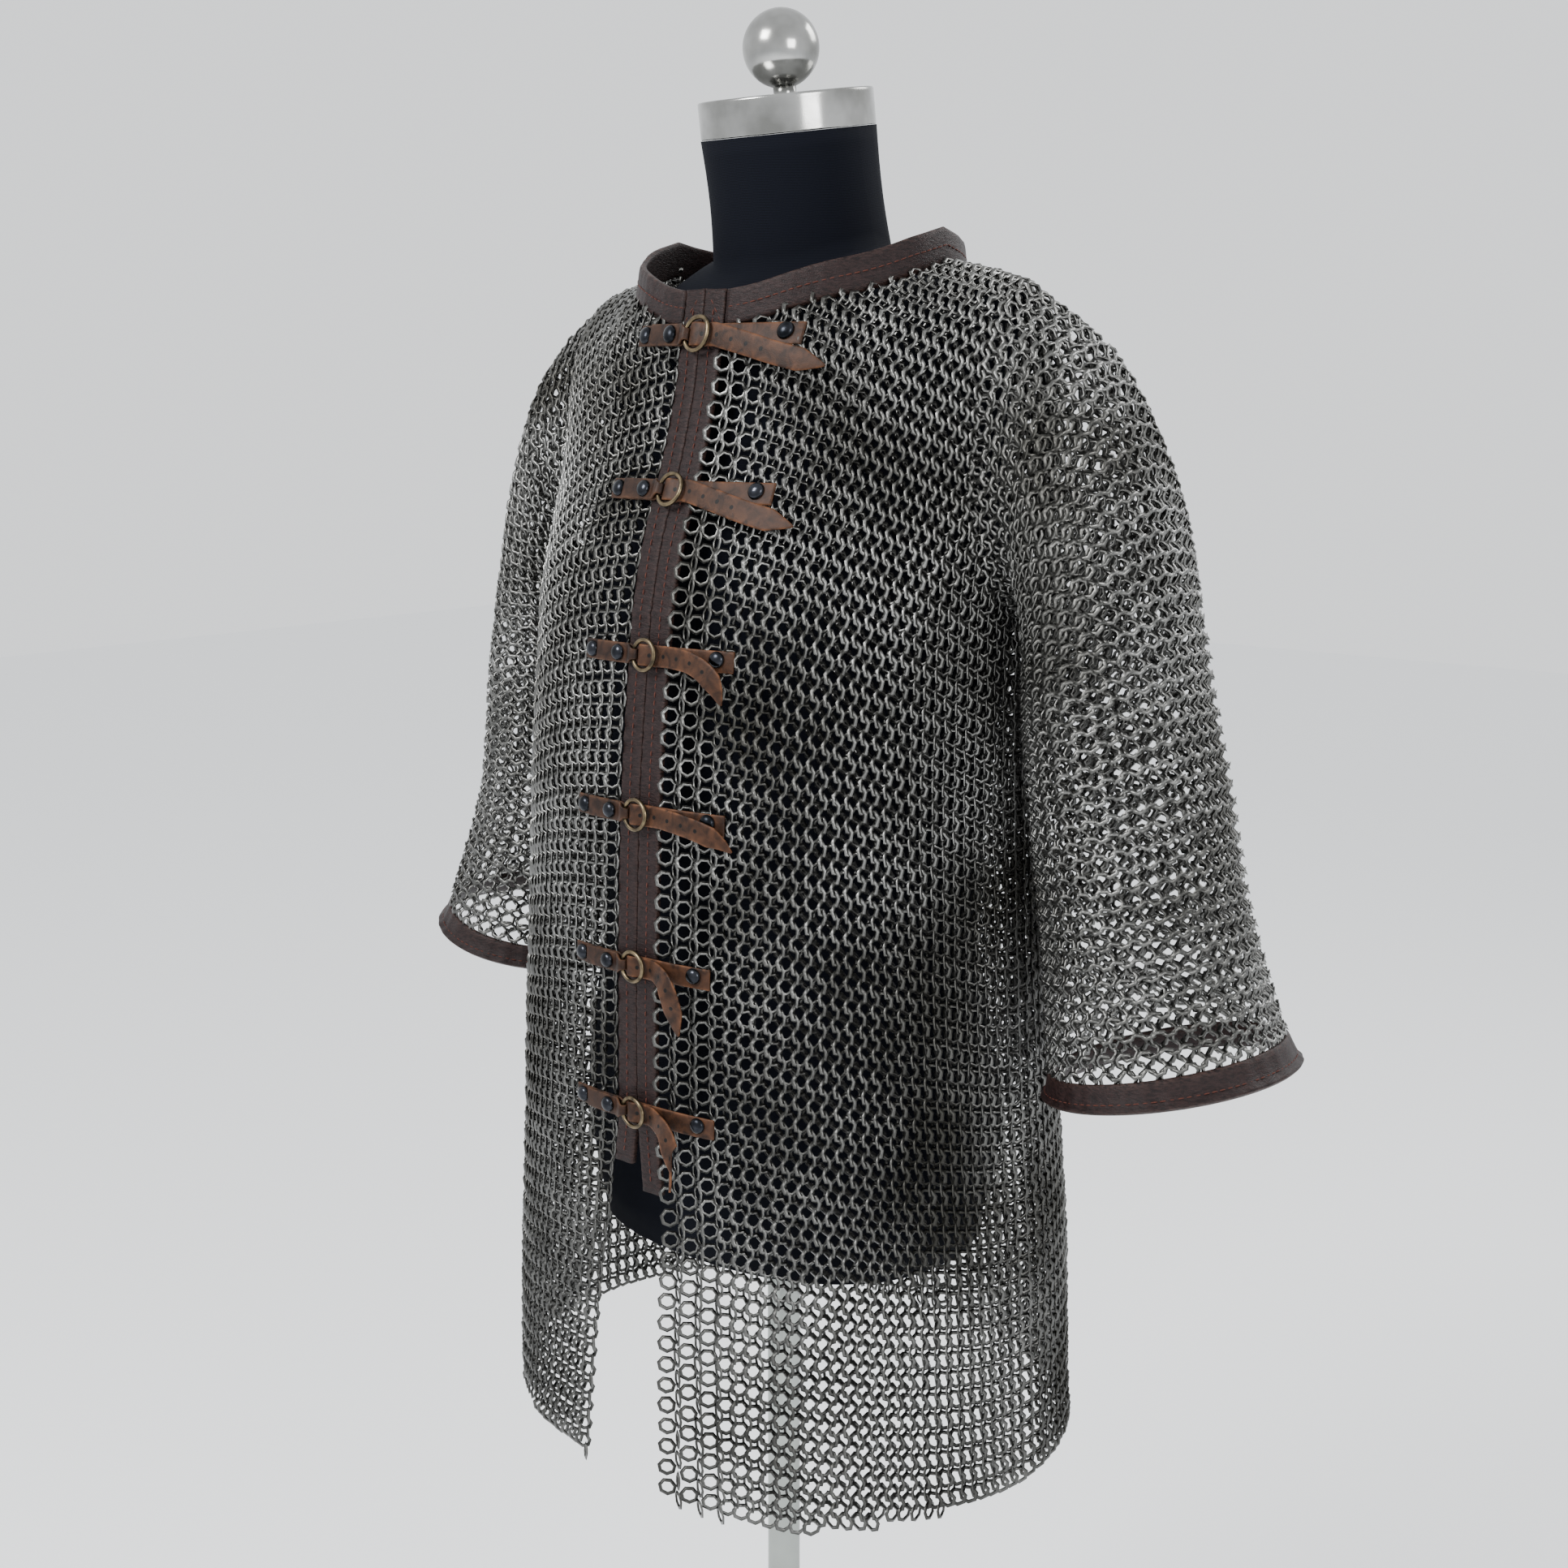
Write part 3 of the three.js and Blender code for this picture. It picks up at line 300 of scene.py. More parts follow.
def ring_cloth(name, centres, normals, along, apart, lean):
    """Joined wire rings. Each ring's plane holds its column's direction, and is turned about it by
    the angle at which rings of the next columns link, to the left or the right."""
    count = len(centres)
    across = unit(np.cross(along, normals))
    slope = np.clip(np.arccos(np.clip(LINK_SHARE * apart / COLUMN_APART, 0, 1)), LEAN_LEAST, LEAN_MOST)
    slope = slope * lean + chance.normal(0, LEAN_SPREAD, count)
    yaw = chance.normal(0, YAW_SPREAD, count)[:, None]
    first = unit(along + across * yaw)
    second = unit(np.cos(slope)[:, None] * across + np.sin(slope)[:, None] * normals)
    second = unit(second - first * np.sum(second * first, -1, keepdims=True))
    third = np.cross(first, second)
    centres = centres + chance.normal(0, PLACE_SPREAD, (count, 3))
    ring = 2 * np.pi * (np.arange(RING_SEGMENTS) + 0.5) / RING_SEGMENTS
    wire = 2 * np.pi * np.arange(WIRE_SIDES) / WIRE_SIDES
    size = RING_RADIUS / np.cos(np.pi / RING_SEGMENTS) ** 0.5
    reach = size + WIRE_WIDTH / 1.5 * np.cos(wire)[None, :]
    plan = np.stack([
        np.cos(ring)[:, None] * reach,
        np.sin(ring)[:, None] * reach,
        np.broadcast_to(WIRE_THICKNESS / 3 ** 0.5 * np.sin(wire), (RING_SEGMENTS, WIRE_SIDES)),
    ], -1).reshape(-1, 3)
    axes = np.stack([first, second, third], 1)
    points = centres[:, None, :] + np.einsum("vk,nkc->nvc", plan, axes)
    s, w = np.meshgrid(np.arange(RING_SEGMENTS), np.arange(WIRE_SIDES), indexing="ij")
    s2, w2 = (s + 1) % RING_SEGMENTS, (w + 1) % WIRE_SIDES
    here, there = s * WIRE_SIDES, s2 * WIRE_SIDES
    quads = np.stack([here + w, there + w, there + w2, here + w2], -1)
    per_ring = RING_SEGMENTS * WIRE_SIDES
    faces = (quads.reshape(1, -1, 4) + per_ring * np.arange(count)[:, None, None]).reshape(-1, 4)
    piece = new_mesh(name, points.reshape(-1, 3), faces)
    tone = np.repeat(np.clip(chance.normal(0.5, 0.22, count), 0, 1), per_ring)
    layer = piece.data.attributes.new("ring_tone", "FLOAT", "POINT")
    layer.data.foreach_set("value", tone.astype(np.float32))
    return piece


def node_group(name, inputs, outputs):
    """A shader group with its named sockets: (name, kind, value) each."""
    group = bpy.data.node_groups.new(name, "ShaderNodeTree")
    for label, kind, value in inputs:
        socket = group.interface.new_socket(label, in_out="INPUT", socket_type=kind)
        socket.default_value = value
    for label, kind in outputs:
        group.interface.new_socket(label, in_out="OUTPUT", socket_type=kind)
    return group, group.nodes.new("NodeGroupInput"), group.nodes.new("NodeGroupOutput")


def add_node(tree, kind, **settings):
    """A node of one kind, with its properties set by name."""
    node = tree.nodes.new(kind)
    for key, value in settings.items():
        setattr(node, key, value)
    return node


def wear_group():
    """Patchy wear from two noises: a tone from 0, dirty, to 1, rubbed bright, and a small height."""
    group, given, result = node_group(
        "metal_wear",
        [("Vector", "NodeSocketVector", (0, 0, 0)), ("Patch Size", "NodeSocketFloat", 12.0)],
        [("Tone", "NodeSocketFloat"), ("Height", "NodeSocketFloat")],
    )
    patches = add_node(group, "ShaderNodeTexNoise")
    patches.inputs["Detail"].default_value = 3.0
    pits = add_node(group, "ShaderNodeTexNoise")
    pits.inputs["Scale"].default_value = 900.0
    spread = add_node(group, "ShaderNodeMapRange")
    spread.inputs["From Min"].default_value = 0.32
    spread.inputs["From Max"].default_value = 0.68
    group.links.new(given.outputs["Vector"], patches.inputs["Vector"])
    group.links.new(given.outputs["Vector"], pits.inputs["Vector"])
    group.links.new(given.outputs["Patch Size"], patches.inputs["Scale"])
    group.links.new(patches.outputs["Fac"], spread.inputs["Value"])
    group.links.new(spread.outputs["Result"], result.inputs["Tone"])
    group.links.new(pits.outputs["Fac"], result.inputs["Height"])
    return group


METAL_WEAR = wear_group()


def new_material(name, roughness, metallic=0.0):
    """A material, its node tree and its shader, with a plain roughness and metallic value."""
    material = bpy.data.materials.new(name)
    material.use_nodes = True
    shader = material.node_tree.nodes["Principled BSDF"]
    shader.inputs["Roughness"].default_value = roughness
    shader.inputs["Metallic"].default_value = metallic
    return material, material.node_tree, shader


def mix_colours(tree, low, high):
    """A colour mix whose two ends are plain colours, ready for a factor."""
    mix = add_node(tree, "ShaderNodeMix", data_type="RGBA")
    mix.inputs["A"].default_value = (*low, 1.0)
    mix.inputs["B"].default_value = (*high, 1.0)
    return mix


def metal(name, dirty, bright, roughness, patch=12.0, bump=0.0, roughness_spread=0.12):
    """Metal between a dirty and a rubbed colour by the wear group, with fine pits."""
    material, tree, shader = new_material(name, roughness, 1.0)
    place = add_node(tree, "ShaderNodeTexCoord")
    wear = add_node(tree, "ShaderNodeGroup", node_tree=METAL_WEAR)
    wear.inputs["Patch Size"].default_value = patch
    colour = mix_colours(tree, dirty, bright)
    rough = add_node(tree, "ShaderNodeMapRange")
    rough.inputs["To Min"].default_value = roughness + roughness_spread
    rough.inputs["To Max"].default_value = roughness
    tree.links.new(place.outputs["Object"], wear.inputs["Vector"])
    tree.links.new(wear.outputs["Tone"], colour.inputs["Factor"])
    tree.links.new(wear.outputs["Tone"], rough.inputs["Value"])
    tree.links.new(colour.outputs["Result"], shader.inputs["Base Color"])
    tree.links.new(rough.outputs["Result"], shader.inputs["Roughness"])
    if bump:
        relief = add_node(tree, "ShaderNodeBump")
        relief.inputs["Strength"].default_value = bump
        relief.inputs["Distance"].default_value = 0.0003
        tree.links.new(wear.outputs["Height"], relief.inputs["Height"])
        tree.links.new(relief.outputs["Normal"], shader.inputs["Normal"])
    return material


def mail_steel():
    """Grey steel, darker from the chest down towards the hem by its height, with a tone for each ring."""
    material = metal("mail_steel", (0.066, 0.064, 0.057), (0.245, 0.244, 0.234), 0.32, patch=9.0)
    tree = material.node_tree
    shader = tree.nodes["Principled BSDF"]
    colour = shader.inputs["Base Color"].links[0].from_node
    place = tree.nodes["Texture Coordinate"]
    apart = add_node(tree, "ShaderNodeSeparateXYZ")
    height = add_node(tree, "ShaderNodeMapRange")
    height.inputs["From Min"].default_value = 0.68
    height.inputs["From Max"].default_value = 1.28
    height.inputs["To Min"].default_value = 0.50
    height.inputs["To Max"].default_value = 1.0
    tone = add_node(tree, "ShaderNodeAttribute", attribute_name="ring_tone")
    ring = add_node(tree, "ShaderNodeMapRange")
    ring.inputs["To Min"].default_value = 0.68
    ring.inputs["To Max"].default_value = 1.15
    both = add_node(tree, "ShaderNodeMath", operation="MULTIPLY")
    shaded = add_node(tree, "ShaderNodeVectorMath", operation="SCALE")
    tree.links.new(place.outputs["Object"], apart.inputs["Vector"])
    tree.links.new(apart.outputs["Z"], height.inputs["Value"])
    tree.links.new(tone.outputs["Fac"], ring.inputs["Value"])
    tree.links.new(height.outputs["Result"], both.inputs[0])
    tree.links.new(ring.outputs["Result"], both.inputs[1])
    tree.links.new(colour.outputs["Result"], shaded.inputs[0])
    tree.links.new(both.outputs["Value"], shaded.inputs["Scale"])
    tree.links.new(shaded.outputs["Vector"], shader.inputs["Base Color"])
    return material


MAIL_STEEL = mail_steel()


def finish_piece(piece, material, nodes):
    """Gives a piece its material, the CAD nodes that it replaces and its body."""
    piece.data.materials.append(material)
    if nodes:
        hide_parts(*nodes)
    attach(piece, "root")
    return piece


SKIRT_FOLD, SHOULDER_CREASE, UNEVENNESS = 0.0026, 0.0028, 0.0008


def drape(points, normals):
    """Soft hanging folds: waves round the skirt that die out towards the chest, a crease that runs
    down from the shoulder, and a slow unevenness all over."""
    x, y, z = np.moveaxis(points, -1, 0)
    low = np.clip((1.0 - z) / 0.4, 0, 1) ** 1.5
    around = np.arctan2(x, -y)
    skirt = np.sin(5 * around + 0.9) * 0.6 + np.sin(8.3 * around + 2.1) * 0.4
    crease = np.exp(-((x - 0.118 + 0.10 * (z - 1.33)) / 0.011) ** 2) * np.exp(-((z - 1.34) / 0.07) ** 2)
    slow = np.sin(21 * z + 3 * around) * np.cos(7 * z - 4 * around)
    move = SKIRT_FOLD * low * skirt - SHOULDER_CREASE * crease * (y < 0) + UNEVENNESS * slow
    return points + normals * move[..., None]


def column_rings(turn_of, levels, columns_at, keep, first_odd):
    """Rings along the columns of one panel. Each column is stepped off evenly from the hem to the
    ridge, odd ones half a ring further, counted from first_odd. turn_of gives the turn at a share
    and level, and keep says which turns, levels and points are inside the panel."""
    share = columns_at[:, None]
    turn = turn_of(share, levels[None, :])
    level = np.broadcast_to(levels[None, :], turn.shape)
    path = body_at(turn, level)
    steps = np.linalg.norm(np.diff(path, axis=1), axis=-1)
    run = np.concatenate([np.zeros((len(share), 1)), np.cumsum(steps, 1)], 1)
    odd = (np.arange(len(share)) + first_odd) % 2
    found = {key: [] for key in ("turn", "level", "along", "odd", "share")}
    for i in range(len(share)):
        stops = (np.arange(RINGS_UP) + 0.35 + 0.5 * odd[i]) * run[i, -1] / RINGS_UP
        stops = stops[stops < run[i, -1]]
        found["turn"].append(np.interp(stops, run[i], turn[i]))
        found["level"].append(np.interp(stops, run[i], level[i]))
        ahead = [
            np.interp(stops + 0.002, run[i], path[i, :, k]) - np.interp(stops - 0.002, run[i], path[i, :, k])
            for k in range(3)
        ]
        found["along"].append(np.stack(ahead, -1))
        found["odd"].append(np.full(len(stops), odd[i]))
        found["share"].append(np.full(len(stops), share[i, 0]))
    turn, level, along, odd, share = (np.concatenate(rows) for rows in found.values())
    points = body_at(turn, level)
    inside = keep(turn, level, points)
    step = 0.5 / len(columns_at)
    beside = body_at(turn_of(share + step, level), level) - body_at(turn_of(share - step, level), level)
    apart = np.linalg.norm(beside, axis=-1)
    apart = apart * np.gradient(columns_at)[np.searchsorted(columns_at, share)] / (2 * step)
    normals = body_normal(turn, level)
    points = drape(points, normals)
    return points[inside], normals[inside], unit(along)[inside], apart[inside], 1.0 - 2.0 * odd[inside]


# The fronts and the back. The fronts' raw edges part below the lowest buckle, and their columns
# follow the edges. Beside the left one the first columns are pulled wide, as the photograph shows.
SLIT_CLOSED = [(0.886, 0.0185), (1.000, 0.0183), (1.240, 0.0183)]
SLIT = {
    -1: np.array([(0.600, 0.068), (0.740, 0.042), (0.838, 0.025)] + SLIT_CLOSED),
    1: np.array([(0.600, 0.016), (0.740, 0.020), (0.838, 0.026)] + SLIT_CLOSED),
}
SLIT_KNOTS = ARMPIT_Z + (HEM_FRONT - ARMPIT_Z) * np.arange(9, -1, -1) / 9


def slit_edge(side, level):
    """How far out from the middle the raw edge lies, straight between the panel's nine stages."""
    table = SLIT[side]
    return np.interp(ARMPIT_Z + np.minimum(level, 0), SLIT_KNOTS, read(table, SLIT_KNOTS)[:, 0])


def turn_across(across, level):
    """The turn at which the body is a given distance across the front, for arrays of both."""
    across, level = np.broadcast_arrays(np.asarray(across, float), np.asarray(level, float))
    widest = np.full(across.shape, 1.2)
    return solve(lambda turn: body_at(turn, level)[..., 0] - across, -widest, widest)


def hem_level(turn):
    """The hem below the armpit: the side's height, eased to the front's or back's by a squared cosine."""
    end = np.where(np.cos(turn) > 0, HEM_FRONT, HEM_BACK)
    return HEM_SIDE + (end - HEM_SIDE) * np.cos(turn) ** 2 - ARMPIT_Z


BELOW_ARMPIT = np.linspace(HEM_FRONT - ARMPIT_Z, 0, 140, endpoint=False)
LEVELS = np.concatenate([BELOW_ARMPIT, np.linspace(0, 1, 160)])
EDGE_OF = {side: turn_across(slit_edge(side, LEVELS), LEVELS) for side in (-1, 1)}


def panel_keep(turn, level, points):
    """True for places outside the neck opening and the armholes and above the hem."""
    around = np.abs(np.arctan2(np.sin(turn), np.cos(turn)))
    across = np.where(around <= SIDE_TURN, around, np.pi - around)
    in_armhole = (level > 0) & (across > armhole_turn(level))
    return (inside_neck(points) < 0.02) & ~in_armhole & (level > hem_level(turn) + 0.003)


FRONT_WIDTH, FIRST_COLUMN = 0.292, 0.0034
BACK_COLUMNS = 60


def front_rings(side):
    """One front: shares run from its raw edge to the side line."""
    def turn_of(share, level):
        edge = np.interp(level, LEVELS, EDGE_OF[side])
        return side * (edge + (SIDE_TURN - edge) * np.clip(share, 0, 1))

    wide = STRETCHED_COLUMNS if side > 0 else 0
    steps = [STRETCHED_APART] * wide
    count = int((FRONT_WIDTH - sum(steps)) / COLUMN_APART)
    steps += [COLUMN_APART] * count
    places = FIRST_COLUMN + np.concatenate([[0], np.cumsum(steps)])
    places = places[:-1] / (places[-1] - COLUMN_APART / 2)
    first_odd = (len(places) - 1 + (side < 0)) % 2
    return column_rings(turn_of, LEVELS, places, panel_keep, first_odd)


def back_rings(side):
    """Half of the back: shares run from the middle to the side line."""
    def turn_of(share, level):
        return side * (np.pi - np.clip(share, -0.1, 1) * SIDE_TURN) + 0 * level

    places = (np.arange(BACK_COLUMNS) + 0.5) / BACK_COLUMNS
    return column_rings(turn_of, LEVELS, places, panel_keep, int(side < 0))


for hand, side in (("right", -1), ("left", 1)):
    for where, rings in (("front", front_rings(side)), ("back", back_rings(side))):
        points, normals, along, apart, lean = rings
        name = f"mail_{where}_{hand}"
        piece = ring_cloth(name + "_rings", points, normals, along, apart, lean)
        finish_piece(piece, MAIL_STEEL, ["mail_back" if where == "back" else name])

# The sleeves. The same rings in columns that go round the arm, linked to the armhole at one end and
# folded into the leather cuff at the other.
CUFF_LOOP = len(SLEEVE) - 1
SLEEVE_APART = 0.0058
SLEEVE_PITCH = 0.0133
HELD_FROM, HELD_LEAN = CUFF_LOOP - 0.09, 0.45


def sleeve_rings():
    """Loops stepped off evenly from the armhole to the cuff's fold, and rings evenly round each. The
    last two loops lean less, because they are held in the fold."""
    fine = np.linspace(0, CUFF_LOOP - 0.02, 400)
    middle = (sleeve_at(np.full(400, np.pi / 3), fine) + sleeve_at(np.full(400, -np.pi / 3), fine)) / 2
    run = np.concatenate([[0], np.cumsum(np.linalg.norm(np.diff(middle, axis=0), axis=-1))])
    loops = np.interp(np.linspace(0.0012, run[-1], int(run[-1] / SLEEVE_APART)), run, fine)
    around = np.linspace(0, 2 * np.pi, 241)
    parts = []
    for index, loop in enumerate(loops):
        ring = sleeve_at(around, np.full(241, loop))
        length = np.concatenate([[0], np.cumsum(np.linalg.norm(np.diff(ring, axis=0), axis=-1))])
        count = int(round(length[-1] / SLEEVE_PITCH))
        at = np.interp((np.arange(count) + 0.5 * (index % 2)) * length[-1] / count, length, around)
        parts.append(np.stack([at, np.full(count, loop), np.full(count, index % 2)], -1))
    at, loop, odd = np.concatenate(parts).T
    points = sleeve_at(at, loop)
    normals = sleeve_normal(at, loop)
    along = sleeve_at(at + 0.02, loop) - sleeve_at(at - 0.02, loop)
    step = np.gradient(loops)[np.searchsorted(loops, loop)]
    apart = np.linalg.norm(sleeve_at(at, loop + step / 2) - sleeve_at(at, loop - step / 2), axis=-1)
    x, y, z = points.T
    folds = np.exp(-((at - 0.9) / 0.16) ** 2) * np.sin(np.clip((1.40 - z) / 0.4, 0, 1) * np.pi)
    folds += 0.8 * np.exp(-((at - 5.0) / 0.2) ** 2) * np.sin(np.clip((1.36 - z) / 0.35, 0, 1) * np.pi)
    points = points - normals * (0.003 * folds + 0.0008 * np.sin(34 * z + 2 * at))[:, None]
    held = np.where(loop > HELD_FROM, HELD_LEAN, 1.0)
    return points, normals, unit(along), apart, held * (1.0 - 2.0 * odd)


points, normals, along, apart, lean = sleeve_rings()
for hand, side in (("right", -1), ("left", 1)):
    mirror = np.array([side, 1.0, 1.0])
    piece = ring_cloth(f"mail_sleeve_{hand}_rings", points * mirror, normals * mirror, along * mirror,
                       apart, lean * side)
    finish_piece(piece, MAIL_STEEL, [f"mail_sleeve_{hand}"])

# Binding leather. Soft, dark plum-brown and finely wrinkled, folded round the raw mail and sewn
# through with a reddish thread: a band round the neck, one down each front edge, one on each cuff.
GAP = 0.0003
THREAD_RADIUS = 0.00045
STITCH_LENGTH = 0.0042
STITCH_PITCH = 0.0056
THREAD_OUT = WALL / 2 - 0.0006
COLLAR_HEIGHT, COLLAR_LEAN_IN = 0.024, 0.004
PLACKET_WIDTH = 0.018
PLACKET_END = {-1: 0.855, 1: 0.838}
FOLD_SIDES = 28


def wrinkle_group():
    """Leather: long fine creases from a stretched noise and small pebbles from a Voronoi, added up
    to a height, and a tone that is 0 in the creases and 1 on the tops."""
    group, given, result = node_group(
        "leather_wrinkles",
        [("Vector", "NodeSocketVector", (0, 0, 0)), ("Stretch", "NodeSocketVector", (1, 1, 1)),
         ("Crease Size", "NodeSocketFloat", 180.0), ("Pebble Size", "NodeSocketFloat", 1400.0)],
        [("Tone", "NodeSocketFloat"), ("Height", "NodeSocketFloat")],
    )
    stretched = add_node(group, "ShaderNodeVectorMath", operation="MULTIPLY")
    creases = add_node(group, "ShaderNodeTexNoise")
    creases.inputs["Detail"].default_value = 4.0
    creases.inputs["Distortion"].default_value = 0.6
    pebbles = add_node(group, "ShaderNodeTexVoronoi")
    half = add_node(group, "ShaderNodeMath", operation="MULTIPLY")
    half.inputs[1].default_value = 0.35
    total = add_node(group, "ShaderNodeMath", operation="ADD")
    spread = add_node(group, "ShaderNodeMapRange")
    spread.inputs["From Min"].default_value = 0.35
    spread.inputs["From Max"].default_value = 0.66
    group.links.new(given.outputs["Vector"], stretched.inputs[0])
    group.links.new(given.outputs["Stretch"], stretched.inputs[1])
    group.links.new(stretched.outputs["Vector"], creases.inputs["Vector"])
    group.links.new(given.outputs["Vector"], pebbles.inputs["Vector"])
    group.links.new(given.outputs["Crease Size"], creases.inputs["Scale"])
    group.links.new(given.outputs["Pebble Size"], pebbles.inputs["Scale"])
    group.links.new(pebbles.outputs["Distance"], half.inputs[0])
    group.links.new(half.outputs["Value"], total.inputs[0])
    group.links.new(creases.outputs["Fac"], total.inputs[1])
    group.links.new(creases.outputs["Fac"], spread.inputs["Value"])
    group.links.new(spread.outputs["Result"], result.inputs["Tone"])
    group.links.new(total.outputs["Value"], result.inputs["Height"])
    return group


LEATHER_WRINKLES = wrinkle_group()


def leather(name, dark, light, worn, roughness, stretch, crease=180.0, bump=0.5):
    """Leather between a dark and a light tone by its wrinkles, and a worn colour along its edges,
    where the piece's own 'edge' attribute is near 1."""
    material, tree, shader = new_material(name, roughness)
    shader.inputs["Specular IOR Level"].default_value = 0.16
    place = add_node(tree, "ShaderNodeTexCoord")
    wrinkles = add_node(tree, "ShaderNodeGroup", node_tree=LEATHER_WRINKLES)
    wrinkles.inputs["Stretch"].default_value = stretch
    wrinkles.inputs["Crease Size"].default_value = crease
    colour = mix_colours(tree, dark, light)
    edge = add_node(tree, "ShaderNodeAttribute", attribute_name="edge")
    rubbed = mix_colours(tree, worn, worn)
    amount = add_node(tree, "ShaderNodeMath", operation="MULTIPLY")
    relief = add_node(tree, "ShaderNodeBump")
    relief.inputs["Strength"].default_value = bump
    relief.inputs["Distance"].default_value = 0.0006
    tree.links.new(place.outputs["Object"], wrinkles.inputs["Vector"])
    tree.links.new(wrinkles.outputs["Tone"], colour.inputs["Factor"])
    tree.links.new(edge.outputs["Fac"], amount.inputs[0])
    tree.links.new(wrinkles.outputs["Tone"], amount.inputs[1])
    tree.links.new(amount.outputs["Value"], rubbed.inputs["Factor"])
    tree.links.new(colour.outputs["Result"], rubbed.inputs["A"])
    tree.links.new(rubbed.outputs["Result"], shader.inputs["Base Color"])
    tree.links.new(wrinkles.outputs["Height"], relief.inputs["Height"])
    tree.links.new(relief.outputs["Normal"], shader.inputs["Normal"])
    return material


BINDING_LEATHER = leather("binding_leather", (0.005, 0.0023, 0.0024), (0.017, 0.0084, 0.0080),
                          (0.040, 0.022, 0.018), 0.5, (1, 1, 3.5), crease=240.0, bump=0.8)

thread_material, thread_tree, thread_shader = new_material("reddish_thread", 0.6)
thread_shader.inputs["Specular IOR Level"].default_value = 0.15
thread_place = add_node(thread_tree, "ShaderNodeTexCoord")
thread_twist = add_node(thread_tree, "ShaderNodeTexNoise")
thread_twist.inputs["Scale"].default_value = 700.0
thread_colour = mix_colours(thread_tree, (0.032, 0.010, 0.007), (0.095, 0.030, 0.021))
thread_tree.links.new(thread_place.outputs["Object"], thread_twist.inputs["Vector"])
thread_tree.links.new(thread_twist.outputs["Fac"], thread_colour.inputs["Factor"])
thread_tree.links.new(thread_colour.outputs["Result"], thread_shader.inputs["Base Color"])


def fold_profile(soft=0.45):
    """Round the folded strip: shares along its width from 0 to 1, and heights from -1 to 1, as a
    rounded box, whose cosine and sine are raised to a small power."""
    angle = 2 * np.pi * np.arange(FOLD_SIDES) / FOLD_SIDES
    cosine, sine = np.cos(angle), np.sin(angle)
    return 0.5 - 0.5 * np.sign(cosine) * np.abs(cosine) ** 0.3, np.sign(sine) * np.abs(sine) ** soft


def tube_faces(rings, sides, closed=False):
    """Quads of a tube of rings, and a flat cap on each end unless it closes on itself."""
    i, j = np.meshgrid(np.arange(rings if closed else rings - 1), np.arange(sides), indexing="ij")
    i2, j2 = (i + 1) % rings, (j + 1) % sides
    quads = np.stack([i * sides + j, i2 * sides + j, i2 * sides + j2, i * sides + j2], -1).reshape(-1, 4)
    faces = quads.tolist()
    if not closed:
        faces.append(list(range(sides)))
        faces.append(list(range((rings - 1) * sides, rings * sides))[::-1])
    return faces


def solid_piece(name, points, faces):
    """A closed mesh whose normals are turned to point out."""
    mesh = bpy.data.meshes.new(name)
    mesh.from_pydata(np.asarray(points, float).tolist(), [], faces)
    work = bmesh.new()
    work.from_mesh(mesh)
    bmesh.ops.recalc_face_normals(work, faces=work.faces)
    work.to_mesh(mesh)
    work.free()
    return show(name, mesh)


def edge_attribute(piece, values):
    """Stores how near each point is to the piece's edge, from 0 to 1, for the leather's worn colour."""
    layer = piece.data.attributes.new("edge", "FLOAT", "POINT")
    layer.data.foreach_set("value", np.asarray(values, np.float32).ravel())


def puckered(along, amount=0.00025):
    """Uneven fullness along a sewn fold: three waves of unlike lengths."""
    return amount * (np.sin(along * 610) + 0.7 * np.sin(along * 283 + 1.3) + 0.6 * np.sin(along * 947 + 0.4))


def folded_strip(name, middle_at, stations, closed, nodes, pinch=0.12):
    """A strip folded round the mail's edge. middle_at gives points and normals for arrays of the
    place along it and the share of its width. It is a little thinner along its stitch line."""
    share, height = fold_profile()
    along, share_grid = np.meshgrid(stations, share, indexing="ij")
    points, normals = middle_at(along, share_grid)
    thick = WALL / 2 * (1 - pinch * np.exp(-((share_grid - 0.5) / 0.12) ** 2))
    out = (thick - 0.00035) * height + puckered(along) * (height > 0.5)
    points = points + normals * out[..., None]
    piece = solid_piece(name, points.reshape(-1, 3), tube_faces(len(stations), FOLD_SIDES, closed))
    edge_attribute(piece, np.exp(-np.minimum(share_grid, 1 - share_grid) / 0.05))
    return finish_piece(piece, BINDING_LEATHER, nodes)


def stitches(name, line):
    """Saddle stitches along a line of points: short round threads that dip into the leather."""
    path, lift = line
    run = np.concatenate([[0], np.cumsum(np.linalg.norm(np.diff(path, axis=0), axis=-1))])
    count = int(run[-1] / STITCH_PITCH)
    starts = (np.arange(count) + 0.25) * run[-1] / count
    share = np.linspace(0, 1, 5)
    s = starts[:, None] + share[None, :] * STITCH_LENGTH
    at = np.stack([np.interp(s, run, path[:, k]) for k in range(3)], -1)
    up = unit(np.stack([np.interp(s, run, lift[:, k]) for k in range(3)], -1))
    ahead = unit(np.gradient(at, axis=1))
    side = unit(np.cross(ahead, up))
    at = at + up * (0.0004 * np.sin(np.pi * share) - 0.0002)[None, :, None]
    angle = 2 * np.pi * np.arange(5) / 5
    width = THREAD_RADIUS * np.array([0.55, 1, 1.05, 1, 0.55])
    ring = (np.cos(angle)[:, None] * side[:, :, None] + np.sin(angle)[:, None] * up[:, :, None])
    points = at[:, :, None, :] + ring * width[None, :, None, None]
    faces = []
    one = tube_faces(5, 5)
    for stitch in range(count):
        faces += [[corner + 25 * stitch for corner in face] for face in one]
    piece = solid_piece(name, points.reshape(-1, 3), faces)
    return finish_piece(piece, thread_material, [])


